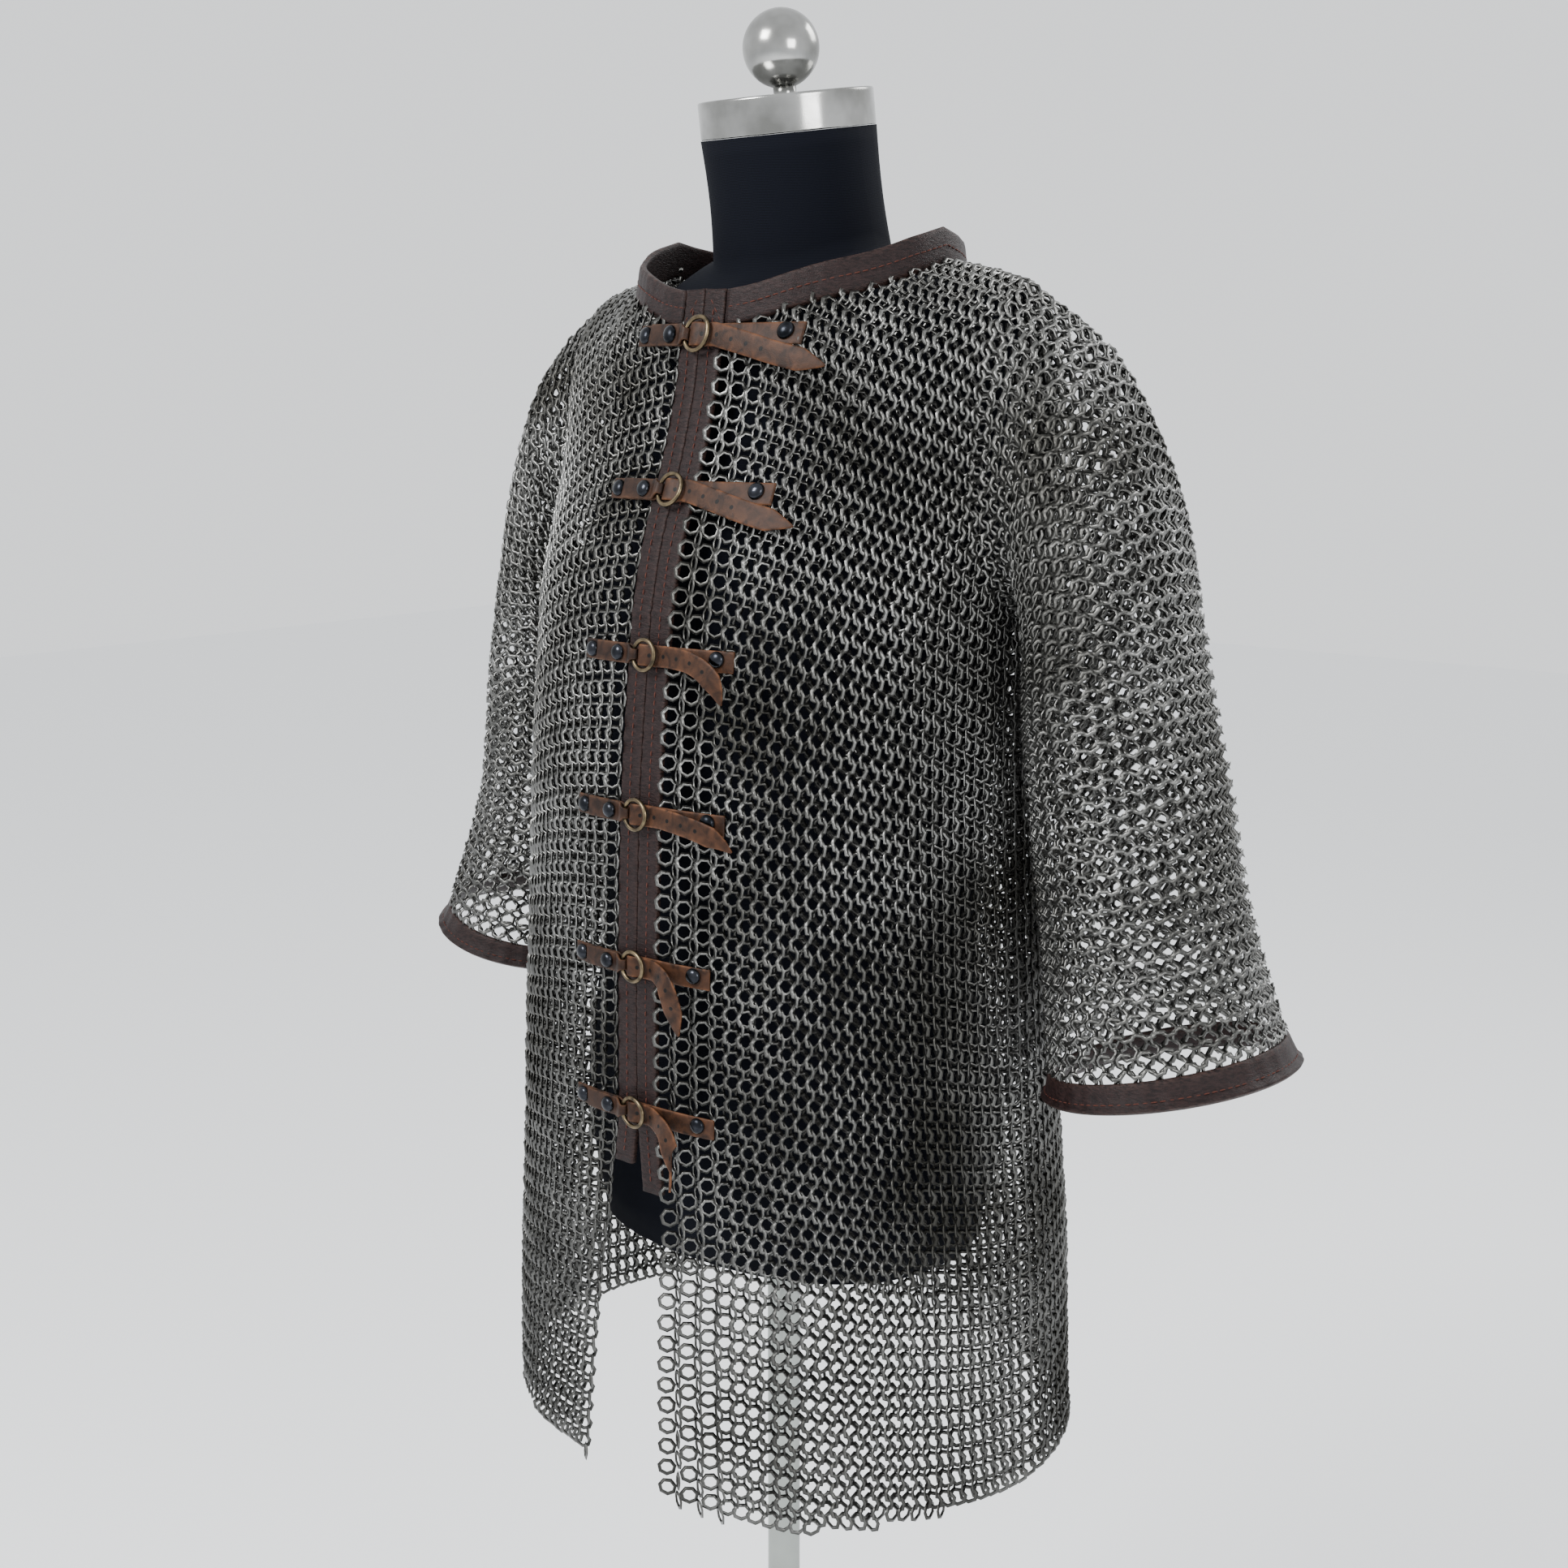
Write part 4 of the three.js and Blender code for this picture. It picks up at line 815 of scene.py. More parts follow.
def placket_middle(side):
    """The strip down one front edge and on over the collar: places run from 0 at its lower end to
    1 at the neck line and 2 at the collar's top."""
    low = PLACKET_END[side] - ARMPIT_Z

    def across_at(share, level):
        outer = slit_edge(side, level) - GAP
        return side * np.maximum(outer - (1 - share) * (PLACKET_WIDTH - GAP / 2), GAP / 2)

    def at_level(share, level):
        turn = turn_across(across_at(share, level), level)
        return body_at(turn, level), body_normal(turn, level)

    def middle_at(along, share):
        first = share[0]
        top = solve(lambda rise: inside_neck(at_level(first, rise)[0]),
                    np.full(first.shape, 0.2), np.ones(first.shape))
        level = np.where(along < 0.6, low * (1 - along / 0.6), top * (along - 0.6) / 0.4)
        level = np.where(along > 1, top, level)
        points, normals = at_level(share, level)
        return on_collar(points, normals, np.clip(along - 1, 0, 1))
    return middle_at


def on_collar(points, normals, share):
    """Moves places on the neck line up the standing collar, which leans in a little."""
    sideways = points[..., 0] / NECK_HALF_WIDTH
    backward = (points[..., 1] - NECK_Y) / NECK_HALF_DEPTH
    radial = np.stack([sideways, backward, 0 * share], -1)
    up = -COLLAR_LEAN_IN * radial + np.array([0, 0, COLLAR_HEIGHT])
    upright = unit(radial + np.array([0, 0, 0.16]))
    blend = np.clip(share * 2, 0, 1)[..., None]
    return points + up * share[..., None], unit(normals * (1 - blend) + upright * blend)


def line_on(middle_at, along, share, out):
    """A stitch line on the outside of a strip, at one share of its width or at one for each place."""
    grid = np.stack([along, along], -1)
    points, normals = middle_at(grid, np.broadcast_to(np.reshape(share, (-1, 1)), grid.shape))
    return points[:, 0] + normals[:, 0] * out, normals[:, 0]


for hand, side in (("right", -1), ("left", 1)):
    middle = placket_middle(side)
    places = np.concatenate([
        np.linspace(0, 0.6, 90, endpoint=False), np.linspace(0.6, 1, 60, endpoint=False),
        np.linspace(1.02, 2, 10),
    ])
    folded_strip(f"placket_{hand}_leather", middle, places, False, [f"placket_{hand}"])
    seam = np.concatenate([np.linspace(0.01, 1, 240), np.linspace(1.05, 1.45, 8)])
    stitches(f"placket_{hand}_stitches", line_on(middle, seam, 0.5, THREAD_OUT))
    rising = np.linspace(1.05, 1.92, 30)
    mitre = line_on(middle, rising, np.linspace(0.92, 0.1, 30), THREAD_OUT)
    stitches(f"placket_{hand}_mitre_stitches", mitre)


def neck_line(count):
    """Turns and rises all round the neck opening, from the left placket round the back."""
    start = turn_across(PLACKET_WIDTH + GAP, np.array(0.75))
    ridge = solve(lambda turn: -inside_neck(body_at(turn, 1.0)), np.array(0.0), np.array(SIDE_TURN))
    front = np.linspace(float(start), float(ridge), count, endpoint=False)
    back = np.linspace(np.pi - float(ridge), np.pi + float(ridge), 2 * count)
    turns = np.concatenate([front, back, -front[::-1]])
    rises = solve(lambda rise: inside_neck(body_at(turns, rise)),
                  np.full(turns.shape, 0.2), np.ones(turns.shape))
    return turns, rises


neck_turns, neck_rises = neck_line(44)
neck_points = body_at(neck_turns, neck_rises)
neck_normals = body_normal(neck_turns, neck_rises)


def collar_middle(along, share):
    """The standing collar: the neck line's points, moved up by the share of the collar's height."""
    index = along.astype(int)
    return on_collar(neck_points[index], neck_normals[index], np.clip(share, 0.0, 1))


collar_places = np.arange(len(neck_turns))
folded_strip("collar_leather", collar_middle, collar_places, False, ["collar_band"])
stitches("collar_stitches", line_on(collar_middle, collar_places, 0.5, THREAD_OUT))


def cuff_middle(side):
    """The bound cuff at the sleeve's end: around the arm, and from its upper to its lower edge."""
    def middle_at(along, share):
        loop = CUFF_LOOP + 0.01 + share * (len(SLEEVE) - CUFF_LOOP - 0.01)
        mirror = np.array([side, 1.0, 1.0])
        return sleeve_at(along, loop) * mirror, sleeve_normal(along, np.minimum(loop, 7.9)) * mirror
    return middle_at


for hand, side in (("right", -1), ("left", 1)):
    middle = cuff_middle(side)
    round_arm = np.linspace(0, 2 * np.pi, 160, endpoint=False)
    folded_strip(f"cuff_{hand}_leather", middle, round_arm, True, [f"cuff_{hand}"])
    stitches(f"cuff_{hand}_stitches", line_on(middle, np.linspace(0, 2 * np.pi, 200), 0.42, THREAD_OUT))

# Closures. Six leather straps riveted to the left front go through buckles on the right: each is
# folded back over the ring and tucked under its far side, and its free end hangs as it was bent.
LEATHER = 0.0018
STRAP_WIDTH = 0.0135
SEAT = 0.00045
SINGLE = LEATHER / 2 + SEAT
DOUBLE = SINGLE + LEATHER + GAP
TAIL_STRAIGHT = [(0.024, -0.002, 0.0035), (0.044, -0.007, 0.0036), (0.062, -0.012, 0.0040),
                 (0.082, -0.017, 0.0046), (0.099, -0.021, 0.0050)]
# height, riveted end, and the free end's places across, up and out
CLOSURES = [
    (1.422, 0.080, TAIL_STRAIGHT),
    (1.319, 0.080, TAIL_STRAIGHT),
    (1.212, 0.072, [(0.024, 0, 0.0042), (0.042, -0.002, 0.007), (0.056, -0.008, 0.0095),
                    (0.064, -0.017, 0.0095), (0.068, -0.028, 0.007)]),
    (1.105, 0.072, [(0.024, 0, 0.0042), (0.044, -0.002, 0.007), (0.060, -0.005, 0.009),
                    (0.072, -0.010, 0.008), (0.080, -0.016, 0.006)]),
    (1.000, 0.064, [(0.022, 0, 0.0055), (0.033, -0.003, 0.011), (0.040, -0.011, 0.014),
                    (0.043, -0.024, 0.012), (0.045, -0.040, 0.009)]),
    (0.896, 0.068, [(0.022, -0.001, 0.0055), (0.034, -0.005, 0.011), (0.041, -0.015, 0.014),
                    (0.041, -0.030, 0.012), (0.038, -0.048, 0.009)]),
]
# where the strap and the chape run, as places across and out from the mail
STRAP_FOLD = [(0.020, SINGLE), (0.008, SINGLE), (-0.001, SINGLE), (-0.0025, 0.0018), (-0.0031, 0.0033),
              (-0.0025, 0.0048), (-0.001, 0.0054), (0.003, 0.0051), (0.007, 0.0037), (0.010, DOUBLE),
              (0.015, DOUBLE)]
CHAPE = [(-0.058, SINGLE), (-0.044, SINGLE), (-0.030, SINGLE), (-0.016, SINGLE), (-0.0084, 0.0014),
         (-0.0062, 0.0022), (-0.0053, 0.0044), (-0.0062, 0.0066), (-0.0084, 0.0075), (-0.0115, 0.0059),
         (-0.0145, 0.0039), (-0.017, DOUBLE), (-0.030, DOUBLE), (-0.0445, DOUBLE)]
CHAPE_AT_RING = 0.007
STRAP_SIDES = 20
RING_X, RING_HALF_WIDTH, RING_HALF_HEIGHT, RING_WIRE = 0.002, 0.0107, 0.0102, 0.0015
RING_LOW, RING_HIGH = 0.0044, 0.0070
RIVET_RADIUS, RIVET_HEIGHT, RIVET_LIFT = 0.0055, 0.0036, 0.0014
RIVET_END, RIVET_MID, RIVET_FROM_STRAP_END = -0.051, -0.023, 0.012
HOLE_PITCH, HOLE_RADIUS, HOLES = 0.0125, 0.0014, 5
NO_HOLE = 1.0


def lay_on_front(flat, height):
    """Lays flat places on the front: x goes across, y up from a height, and z out from the mail."""
    z = height + flat[:, 1]
    across = flat[:, 0]

    def height_at(rise):
        return body_at(turn_across(across, rise), rise)[..., 2] - z

    level = z - ARMPIT_Z
    if np.any(level >= 0):
        level = np.where(level < 0, level, solve(height_at, 0 * z, 0 * z + 0.98, 22))
    turn = turn_across(across, level)
    return body_at(turn, level) + body_normal(turn, level) * (WALL / 2 + flat[:, 2])[:, None]


def smooth_path(points, stations):
    """A Catmull-Rom curve through the points, stepped off evenly."""
    points = np.asarray(points, float)
    padded = np.concatenate([2 * points[:1] - points[1:2], points, 2 * points[-1:] - points[-2:-1]])
    t = np.linspace(0, len(points) - 1, 24 * len(points))
    i = np.minimum(t.astype(int), len(points) - 2)
    f = (t - i)[:, None]
    a, b, c, d = padded[i], padded[i + 1], padded[i + 2], padded[i + 3]
    curve = 0.5 * (2 * b + (c - a) * f + (2 * a - 5 * b + 4 * c - d) * f**2 + (3 * b - a - 3 * c + d) * f**3)
    run = np.concatenate([[0], np.cumsum(np.linalg.norm(np.diff(curve, axis=0), axis=-1))])
    even = np.linspace(0, run[-1], stations)
    return np.stack([np.interp(even, run, curve[:, k]) for k in range(3)], -1), even


def strap_piece(name, path, stations, width_at, height, material, nodes, hole_from):
    """A leather strap along a path of flat places: a thin rounded box section, wide across the path,
    laid on the front. Its UV map holds metres along it, from its first hole, and across it."""
    line, run = smooth_path(path, stations)
    ahead = unit(np.gradient(line, axis=0))
    plan = np.hypot(ahead[:, 0], ahead[:, 1])
    down = np.where((ahead[:, 0] > 0) & (plan > 0.5), -ahead[:, 1] / np.maximum(plan, 1e-9), 0)
    down = np.convolve(np.pad(down, 5, "edge"), np.ones(11) / 11, "valid")
    wide = np.stack([down, np.sqrt(1 - down**2), 0 * down], -1)
    normal = unit(np.cross(ahead, wide))
    angle = 2 * np.pi * np.arange(STRAP_SIDES) / STRAP_SIDES
    across = np.sign(np.cos(angle)) * np.abs(np.cos(angle)) ** 0.25
    thick = np.sign(np.sin(angle)) * np.abs(np.sin(angle)) ** 0.6
    half = width_at(run) / 2
    points = line[:, None, :] + wide[:, None, :] * (half[:, None] * across)[..., None]
    points = points + normal[:, None, :] * (LEATHER / 2 * thick)[None, :, None]
    laid = lay_on_front(points.reshape(-1, 3), height)
    piece = solid_piece(name, laid, tube_faces(stations, STRAP_SIDES))
    edge_attribute(piece, np.broadcast_to(np.abs(across) ** 6, (stations, STRAP_SIDES)))
    corner = np.zeros(len(piece.data.loops), int)
    piece.data.loops.foreach_get("vertex_index", corner)
    u = np.repeat(run - hole_from, STRAP_SIDES)
    v = (half[:, None] * across[None, :]).ravel()
    layer = piece.data.uv_layers.new(name="strap")
    layer.data.foreach_set("uv", np.stack([u[corner], v[corner]], -1).ravel())
    return finish_piece(piece, material, nodes)


def strap_leather():
    """The strap's leather with its row of punched holes, each filled with painted shade, near black, and
    sunk, both placed by the UV map.
    """
    material = leather("strap_leather", (0.014, 0.0060, 0.0032), (0.038, 0.0160, 0.0080),
                       (0.13, 0.052, 0.022), 0.5, (1, 1, 1), crease=130.0, bump=0.35)
    tree = material.node_tree
    shader = tree.nodes["Principled BSDF"]
    before = shader.inputs["Base Color"].links[0].from_socket
    relief = shader.inputs["Normal"].links[0].from_node
    places = add_node(tree, "ShaderNodeUVMap", uv_map="strap")
    apart = add_node(tree, "ShaderNodeSeparateXYZ")
    tree.links.new(places.outputs["UV"], apart.inputs["Vector"])

    def maths(operation, first, second):
        node = add_node(tree, "ShaderNodeMath", operation=operation)
        for socket, value in zip(node.inputs, (first, second)):
            if isinstance(value, float):
                socket.default_value = value
            else:
                tree.links.new(value, socket)
        return node.outputs["Value"]

    wrapped = maths("WRAP", apart.outputs["X"], HOLE_PITCH / 2)
    wrapped.node.inputs[2].default_value = -HOLE_PITCH / 2
    squared = maths("ADD", maths("MULTIPLY", wrapped, wrapped),
                    maths("MULTIPLY", apart.outputs["Y"], apart.outputs["Y"]))
    round_hole = maths("LESS_THAN", squared, HOLE_RADIUS**2)
    after_first = maths("GREATER_THAN", apart.outputs["X"], -HOLE_PITCH / 2)
    before_last = maths("LESS_THAN", apart.outputs["X"], HOLE_PITCH * (HOLES - 0.5))
    hole = maths("MULTIPLY", maths("MULTIPLY", round_hole, after_first), before_last)
    # Painted shade: each punched hole is coloured near black in place of the shade inside it.
    painted = mix_colours(tree, (0, 0, 0), (0.0015, 0.0010, 0.0008))
    tree.links.new(hole, painted.inputs["Factor"])
    tree.links.new(before, painted.inputs["A"])
    tree.links.new(painted.outputs["Result"], shader.inputs["Base Color"])
    height = maths("SUBTRACT", relief.inputs["Height"].links[0].from_socket, hole)
    tree.links.new(height, relief.inputs["Height"])
    return material


STRAP_LEATHER = strap_leather()
CHAPE_LEATHER = leather("chape_leather", (0.010, 0.0045, 0.0028), (0.027, 0.0120, 0.0068),
                        (0.075, 0.034, 0.017), 0.5, (1, 1, 1), crease=130.0, bump=0.4)
BRASS = metal("antique_brass", (0.045, 0.036, 0.024), (0.19, 0.145, 0.085), 0.32, patch=160.0, bump=0.2)
BLUED = metal("blued_steel", (0.008, 0.009, 0.011), (0.034, 0.036, 0.043), 0.20, patch=120.0, bump=0.1)
RING_AROUND, RING_WIRE_SIDES = 56, 12
PRONG_WIRE, PRONG_EYE, PRONG_TIP, PRONG_OUT = 0.00075, 0.0027, 0.0006, 0.0033
PRONG_STATIONS, PRONG_SIDES = 40, 10
STRAP_STATIONS, CHAPE_STATIONS = 150, 120
RIVET_SIDES, RIVET_FLANGE = 24, 0.0006


def buckle_ring(number, height):
    """An oval wire ring, tilted so that its far side lies on the strap."""
    angle = 2 * np.pi * np.arange(RING_AROUND) / RING_AROUND
    wire = 2 * np.pi * np.arange(RING_WIRE_SIDES) / RING_WIRE_SIDES
    cosine, sine = np.cos(angle)[:, None], np.sin(angle)[:, None]
    spread = RING_WIRE * np.cos(wire)[None, :]
    lift = (RING_LOW + RING_HIGH) / 2 + (RING_HIGH - RING_LOW) / 2 * cosine
    flat = np.stack([
        RING_X + cosine * (RING_HALF_WIDTH + spread),
        sine * (RING_HALF_HEIGHT + spread),
        lift + RING_WIRE * np.sin(wire)[None, :],
    ], -1).reshape(-1, 3)
    faces = tube_faces(RING_AROUND, RING_WIRE_SIDES, True)
    piece = solid_piece(f"buckle_ring_{number}", lay_on_front(flat, height), faces)
    return finish_piece(piece, BRASS, [f"ring_{number}"])


def prong(number, height):
    """A wire prong: its eye goes round the ring, and its tongue through the strap's first hole."""
    pivot = RING_X - RING_HALF_WIDTH
    angle = np.pi * (0.3 + 1.5 * np.linspace(0, 1, 9))
    eye_x, eye_out = pivot + PRONG_EYE * np.cos(angle), RING_LOW + PRONG_EYE * np.sin(angle)
    points = np.stack([eye_x, 0 * angle, eye_out], -1)
    tongue = [(pivot + 0.005, 0, PRONG_OUT), (PRONG_TIP, 0, PRONG_OUT)]
    line, _ = smooth_path(np.concatenate([points, tongue]), PRONG_STATIONS)
    ahead = unit(np.gradient(line, axis=0))
    side = np.array([0.0, 1.0, 0.0])
    up = np.cross(side, ahead)
    wire = 2 * np.pi * np.arange(PRONG_SIDES) / PRONG_SIDES
    spoke = np.cos(wire)[None, :, None] * side + np.sin(wire)[None, :, None] * up[:, None, :]
    flat = (line[:, None, :] + PRONG_WIRE * spoke).reshape(-1, 3)
    faces = tube_faces(PRONG_STATIONS, PRONG_SIDES)
    piece = solid_piece(f"buckle_prong_{number}", lay_on_front(flat, height), faces)
    return finish_piece(piece, BRASS, [f"prong_{number}"])


def rivet(name, across, up, out, height, node):
    """A low dome of revolution with a thin flat flange."""
    angle = np.linspace(0, SIDE_TURN, 8)
    dome_radius = RIVET_RADIUS * 0.97
    radius = np.concatenate([[dome_radius, RIVET_RADIUS], dome_radius * np.cos(angle)[:-1], [0.0004]])
    dome_rise = RIVET_FLANGE + (RIVET_HEIGHT - RIVET_FLANGE) * np.sin(angle)[:-1]
    rise = np.concatenate([[0, 0.0004], dome_rise, [RIVET_HEIGHT]])
    around = 2 * np.pi * np.arange(RIVET_SIDES) / RIVET_SIDES
    flat = np.stack([
        across + radius[:, None] * np.cos(around),
        up + radius[:, None] * np.sin(around),
        np.broadcast_to(out + rise[:, None], (len(radius), RIVET_SIDES)),
    ], -1).reshape(-1, 3)
    piece = solid_piece(name, lay_on_front(flat, height), tube_faces(len(radius), RIVET_SIDES))
    return finish_piece(piece, BLUED, [node])


def chape_width(run):
    """Narrow where it goes round the ring, 53.5 mm along it, and eased to the strap's width."""
    near = np.clip(1 - np.abs(run - 0.0535) / 0.0105, 0, 1)
    near = near * near * (3 - 2 * near)
    return STRAP_WIDTH + (CHAPE_AT_RING - STRAP_WIDTH) * np.clip(1.6 * near, 0, 1)


for index, (height, end, tail) in enumerate(CLOSURES):
    number = index + 1
    flat = np.linspace(end, STRAP_FOLD[0][0], 5)[:-1]
    base = [(x, 0, SINGLE) for x in flat] + [(x, 0, out) for x, out in STRAP_FOLD]
    path = base + list(tail)
    line, run = smooth_path(path, STRAP_STATIONS)
    length = run[-1]
    fold_at = run[np.argmin(line[:, 0])]
    first_hole = fold_at + 0.0105

    def tail_width(run, length=length):
        """Even, with a pointed end over the last 17 mm."""
        return STRAP_WIDTH * np.clip((length - run) / 0.017, 0.0, 1) ** 0.85 + 0.0008

    strap_piece(f"strap_{number}_leather", path, STRAP_STATIONS, tail_width, height, STRAP_LEATHER,
                [f"strap_{number}"], first_hole)
    chape_path = [(x, 0, out) for x, out in CHAPE]
    strap_piece(f"chape_{number}_leather", chape_path, CHAPE_STATIONS, chape_width, height, CHAPE_LEATHER,
                [f"chape_{number}"], NO_HOLE)
    buckle_ring(number, height)
    prong(number, height)
    on_single = SINGLE + LEATHER / 2 + GAP
    on_double = DOUBLE + LEATHER / 2 + GAP
    strap_rivet = end - RIVET_FROM_STRAP_END
    rivet(f"rivet_end_{number}_dome", RIVET_END, 0, on_single, height, f"rivet_end_{number}")
    rivet(f"rivet_mid_{number}_dome", RIVET_MID, 0, on_double, height, f"rivet_mid_{number}")
    rivet(f"rivet_strap_{number}_dome", strap_rivet, RIVET_LIFT, on_single, height, f"rivet_strap_{number}")

# The dress form. A padded torso under a tight black cover, with a polished steel cap and ball on
# its neck, on a steel pole in the collar of a round base.
FORM = np.array([
    (0.770, 0.150, -0.108, 0.112), (0.860, 0.168, -0.112, 0.124), (1.010, 0.148, -0.104, 0.106),
    (1.130, 0.158, -0.112, 0.112), (1.240, 0.172, -0.112, 0.118),
])
FORM_SHOULDER = 0.79
FORM_DROP_SHOULDER, FORM_DROP_NECK = 0.0038, 0.011
FORM_DROP_FROM, FORM_DROP_TO = 0.45, 0.66
NECK_FOOT, NECK_FOOT_Y, NECK_RADIUS, NECK_TOP_Y, NECK_TOP_Z = 0.064, 0.022, 0.061, 0.005, 1.562
NECK_TILT = np.radians(8.5)


def form_at(turn, level):
    """The form's surface: its own sections below the armpit, and the coat's dome, lowered, above."""
    along = FORM_SHOULDER * np.arcsin(np.abs(np.sin(turn))) / SIDE_TURN
    share = np.clip((along - FORM_DROP_FROM) / (FORM_DROP_TO - FORM_DROP_FROM), 0, 1)
    share = share * share * (3 - 2 * share)
    drop = FORM_DROP_NECK + (FORM_DROP_SHOULDER - FORM_DROP_NECK) * share
    below = section(FORM, turn, ARMPIT_Z + np.minimum(level, 0))
    above = dome(FORM, turn, np.clip(level, 0, 1), FORM_SHOULDER, drop)
    return np.where((level < 0)[..., None], below, above)


def dress_form():
    """A ring of columns from the flat underside up to the shoulder ridge, where front and back meet,
    or to the neck's foot, from which the neck goes up to its slanting top."""
    def inside_foot(p):
        return 1 - (p[..., 0] ** 2 + (p[..., 1] - NECK_FOOT_Y) ** 2) / NECK_FOOT**2

    ridge = float(solve(lambda turn: -inside_foot(form_at(turn, np.array(1.0))),
                        np.array(0.0), np.array(SIDE_TURN)))
    quarter = np.concatenate([
        np.linspace(0, ridge, 14, endpoint=False), np.linspace(ridge, SIDE_TURN, 16, endpoint=False),
    ])
    half = np.concatenate([quarter, [SIDE_TURN], np.pi - quarter[::-1]])
    turns = np.concatenate([half, -half[1:-1][::-1]])
    columns = len(turns)
    at_ridge = form_at(turns, np.ones(columns))
    opened = inside_foot(at_ridge) > -1e-6
    found = solve(lambda rise: inside_foot(form_at(turns, rise)), np.full(columns, 0.2), np.ones(columns))
    top = np.where(opened, found, 1.0)
    low = np.linspace(FORM[0, 0] - ARMPIT_Z, 0, 20, endpoint=False)
    rise = np.linspace(0, 1, 26)
    level = np.concatenate([np.repeat(low[:, None], columns, 1), rise[:, None] * top[None, :]])
    body = form_at(turns[None, :], level)
    foot = body[-1]
    slender = NECK_RADIUS / NECK_FOOT
    y = (foot[:, 1] - NECK_FOOT_Y) * slender
    rim = np.stack([foot[:, 0] * slender, NECK_TOP_Y + y, NECK_TOP_Z + y * np.tan(NECK_TILT)], -1)
    share = np.linspace(0, 1, 9)[1:, None, None]
    waist = 1 - 0.03 * np.sin(np.pi * share)
    middle = np.array([0, NECK_FOOT_Y, 0]) + (np.array([0, NECK_TOP_Y - NECK_FOOT_Y, 0])) * share
    neck = foot + (rim - foot) * share
    neck = np.concatenate([(neck[..., :2] - middle[..., :2]) * waist + middle[..., :2], neck[..., 2:]], -1)
    neck = np.where(opened[None, :, None], neck, foot)
    underside = np.broadcast_to(np.array([0, SIDE_Y, FORM[0, 0]]), (1, columns, 3))
    lid = np.broadcast_to(np.array([0, NECK_TOP_Y, NECK_TOP_Z]), (1, columns, 3))
    grid = np.concatenate([underside, body, neck, lid])
    rows = len(grid)
    i, j = np.meshgrid(np.arange(rows - 1), np.arange(columns), indexing="ij")
    j2 = (j + 1) % columns
    shown = (i < len(level)) | (opened[j] & opened[j2])
    low_row, high_row = i * columns, (i + 1) * columns
    quads = np.stack([low_row + j, low_row + j2, high_row + j2, high_row + j], -1)[shown]
    work = bmesh.new()
    corners = [work.verts.new(point) for point in grid.reshape(-1, 3)]
    for quad in quads.tolist():
        work.faces.new([corners[corner] for corner in quad])
    bmesh.ops.remove_doubles(work, verts=work.verts, dist=0.00002)
    bmesh.ops.dissolve_degenerate(work, edges=work.edges, dist=0.00001)
    bmesh.ops.delete(work, geom=[vert for vert in work.verts if not vert.link_faces], context="VERTS")
    bmesh.ops.recalc_face_normals(work, faces=work.faces)
    mesh = bpy.data.meshes.new("form_cover")
    work.to_mesh(mesh)
    work.free()
    return show("form_cover", mesh)


jersey, jersey_tree, jersey_shader = new_material("black_jersey", 0.85)
jersey_shader.inputs["Specular IOR Level"].default_value = 0.08
jersey_place = add_node(jersey_tree, "ShaderNodeTexCoord")
jersey_knit = add_node(jersey_tree, "ShaderNodeTexWave", bands_direction="Z")
jersey_knit.inputs["Scale"].default_value = 300.0
jersey_knit.inputs["Distortion"].default_value = 1.5
jersey_colour = mix_colours(jersey_tree, (0.0012, 0.0015, 0.003), (0.004, 0.005, 0.009))
jersey_relief = add_node(jersey_tree, "ShaderNodeBump")
jersey_relief.inputs["Strength"].default_value = 0.15
jersey_relief.inputs["Distance"].default_value = 0.0002
jersey_tree.links.new(jersey_place.outputs["Object"], jersey_knit.inputs["Vector"])
jersey_tree.links.new(jersey_knit.outputs["Fac"], jersey_colour.inputs["Factor"])
jersey_tree.links.new(jersey_colour.outputs["Result"], jersey_shader.inputs["Base Color"])
jersey_tree.links.new(jersey_knit.outputs["Fac"], jersey_relief.inputs["Height"])
jersey_tree.links.new(jersey_relief.outputs["Normal"], jersey_shader.inputs["Normal"])
finish_piece(dress_form(), jersey, ["form_torso"])

POLISHED = metal("polished_steel", (0.20, 0.20, 0.19), (0.42, 0.42, 0.41), 0.14, patch=30.0, bump=0.05,
                 roughness_spread=0.10)
STAND_STEEL = metal("stand_steel", (0.29, 0.31, 0.29), (0.36, 0.38, 0.36), 0.32, patch=14.0, bump=0.1)
CAP_HEIGHT = 0.025
BALL_RADIUS, BALL_UP, BALL_STEM = 0.0265, 0.0556, 0.008
POLE_RADIUS = 0.0125
BASE_RADIUS, BASE_THICK, BASE_COLLAR, BASE_COLLAR_HEIGHT = 0.190, 0.010, 0.024, 0.046
TURNED_SIDES = 96


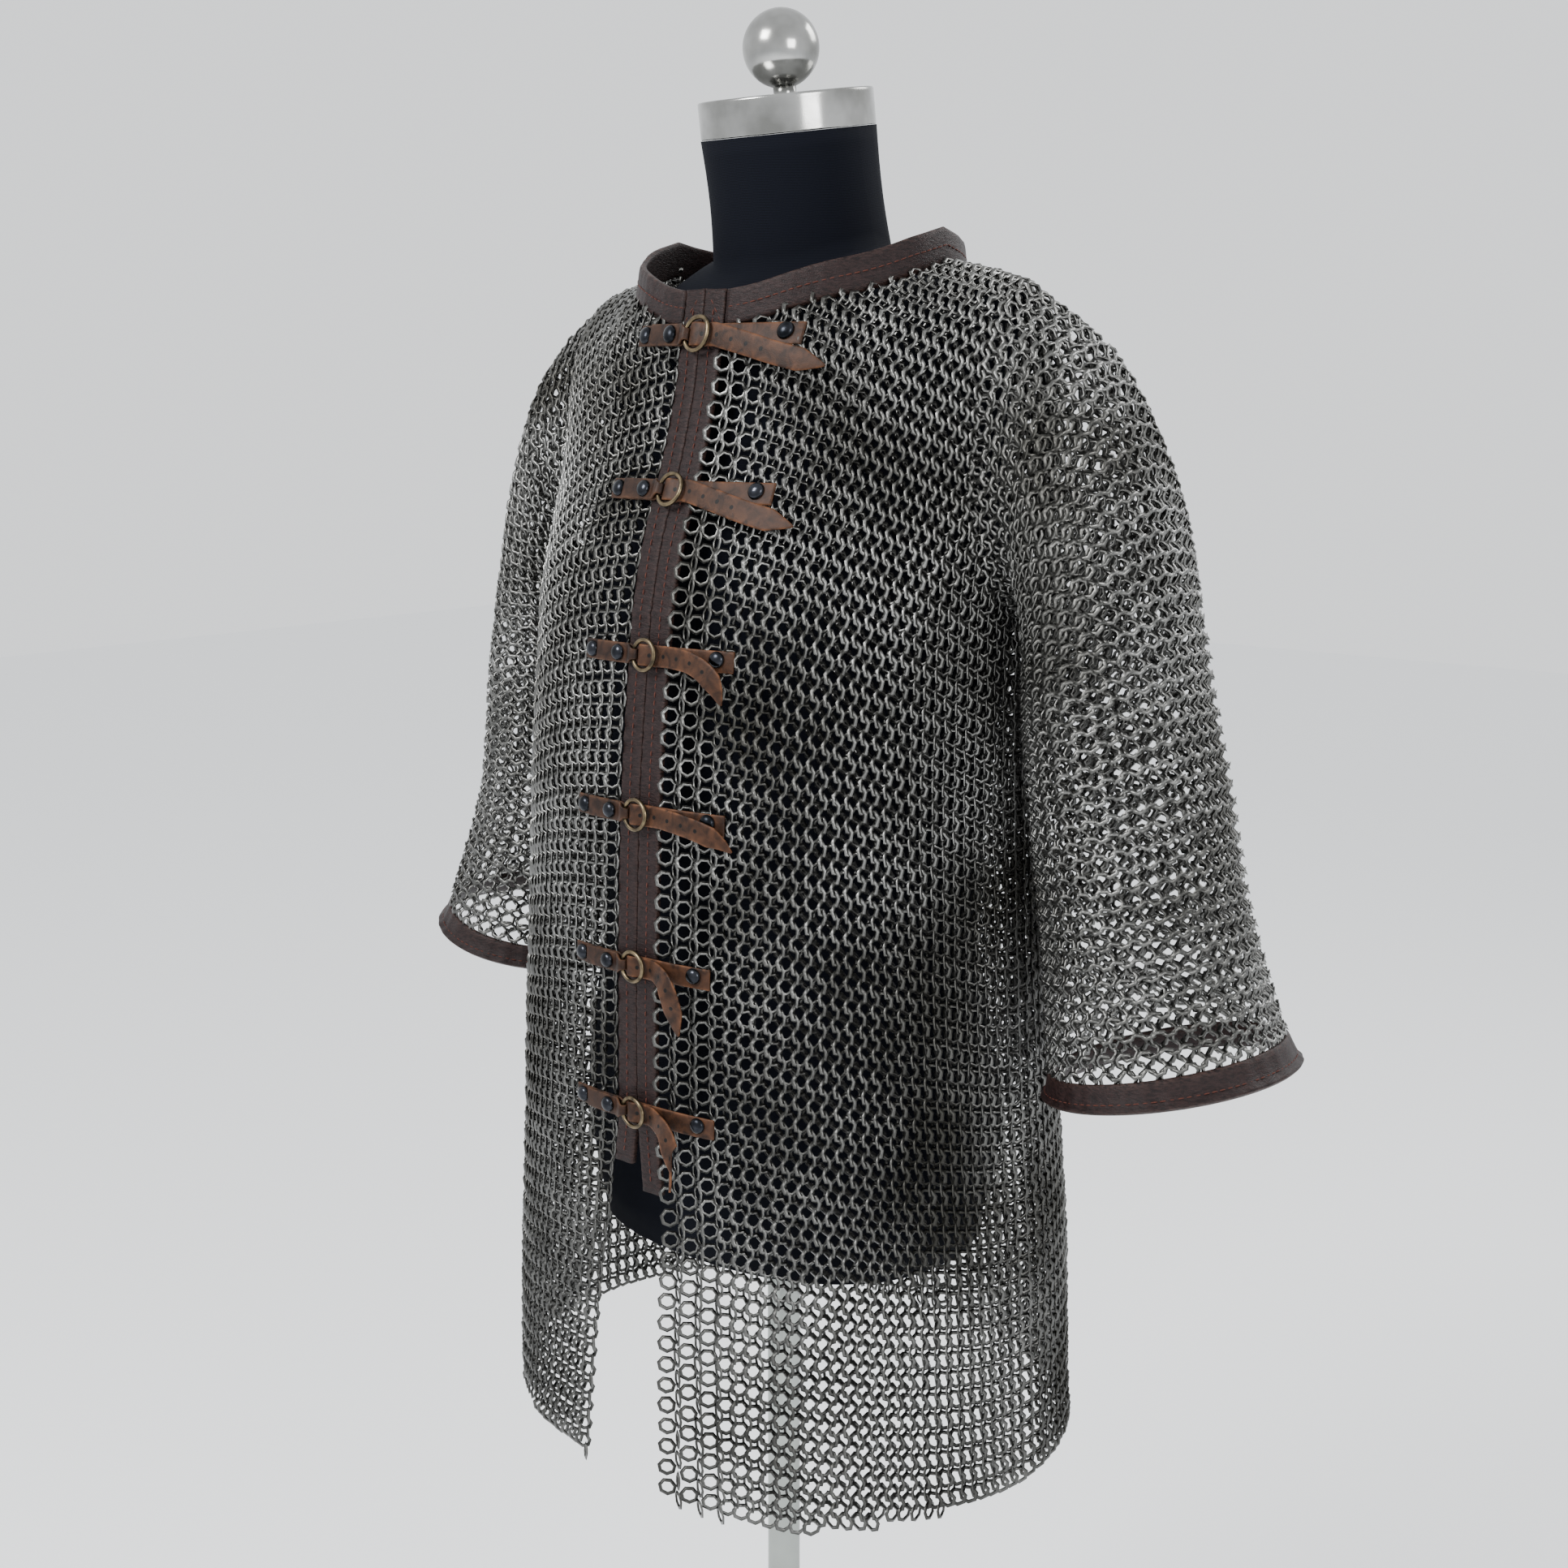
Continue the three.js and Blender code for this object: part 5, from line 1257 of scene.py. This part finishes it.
def turned(name, profile, material, node, on_neck=False):
    """A solid of revolution from (radius, height) corners, upright or on the neck's slanting top."""
    radius, height = np.asarray(profile, float).T
    around = 2 * np.pi * np.arange(TURNED_SIDES) / TURNED_SIDES
    points = np.stack([
        np.maximum(radius, 1e-5)[:, None] * np.cos(around),
        np.maximum(radius, 1e-5)[:, None] * np.sin(around),
        np.broadcast_to(height[:, None], (len(radius), TURNED_SIDES)),
    ], -1).reshape(-1, 3)
    if on_neck:
        x, y, z = points.T
        points = np.stack([x, y * np.cos(NECK_TILT) - z * np.sin(NECK_TILT) + NECK_TOP_Y,
                           y * np.sin(NECK_TILT) + z * np.cos(NECK_TILT) + NECK_TOP_Z], -1)
    piece = solid_piece(name, points, tube_faces(len(radius), TURNED_SIDES))
    return finish_piece(piece, material, [node])


def soft_corner(radius, height, size, steps=4):
    """Points of a rounded outer corner, from below it to beside it."""
    angle = np.linspace(0, SIDE_TURN, steps)
    return [(radius - size + size * np.cos(a), height - size + size * np.sin(a)) for a in angle]


cap_top = GAP + CAP_HEIGHT
turned("cap_steel", [(0, GAP), (NECK_RADIUS - 0.0006, GAP), (NECK_RADIUS, GAP + 0.0006),
                     (NECK_RADIUS, GAP + 0.001), (NECK_RADIUS, cap_top - 0.003),
                     *soft_corner(NECK_RADIUS, cap_top, 0.0016), (NECK_RADIUS - 0.004, cap_top),
                     (NECK_RADIUS - 0.006, cap_top), (0, cap_top)],
       POLISHED, "form_cap", True)
ball_angle = np.linspace(np.arcsin(BALL_STEM / BALL_RADIUS), np.pi, 40)
ball = [(BALL_RADIUS * np.sin(a), BALL_UP - BALL_RADIUS * np.cos(a)) for a in ball_angle]
turned("ball_steel", [(0, cap_top + GAP), (BALL_STEM, cap_top + GAP), (BALL_STEM, cap_top + 0.0008), *ball],
       POLISHED, "form_ball", True)
pole_low, pole_high = BASE_THICK + GAP, FORM[0, 0] - GAP
turned("pole_steel", [(0, pole_low), (POLE_RADIUS, pole_low), (POLE_RADIUS, pole_low + 0.001),
                      (POLE_RADIUS, pole_high - 0.001), (POLE_RADIUS, pole_high), (0, pole_high)],
       STAND_STEEL, "form_pole")
bore = POLE_RADIUS + GAP
collar_top = BASE_THICK + BASE_COLLAR_HEIGHT
turned("base_steel", [(0, 0), (BASE_RADIUS - 0.001, 0), (BASE_RADIUS, 0.001),
                      (BASE_RADIUS, BASE_THICK - 0.004), *soft_corner(BASE_RADIUS, BASE_THICK, 0.002),
                      (BASE_COLLAR + 0.003, BASE_THICK), (BASE_COLLAR, BASE_THICK + 0.003),
                      (BASE_COLLAR, collar_top - 0.004), *soft_corner(BASE_COLLAR, collar_top, 0.002),
                      (bore, collar_top), (bore, collar_top - 0.001), (bore, BASE_THICK), (0, BASE_THICK)],
       STAND_STEEL, "form_base")
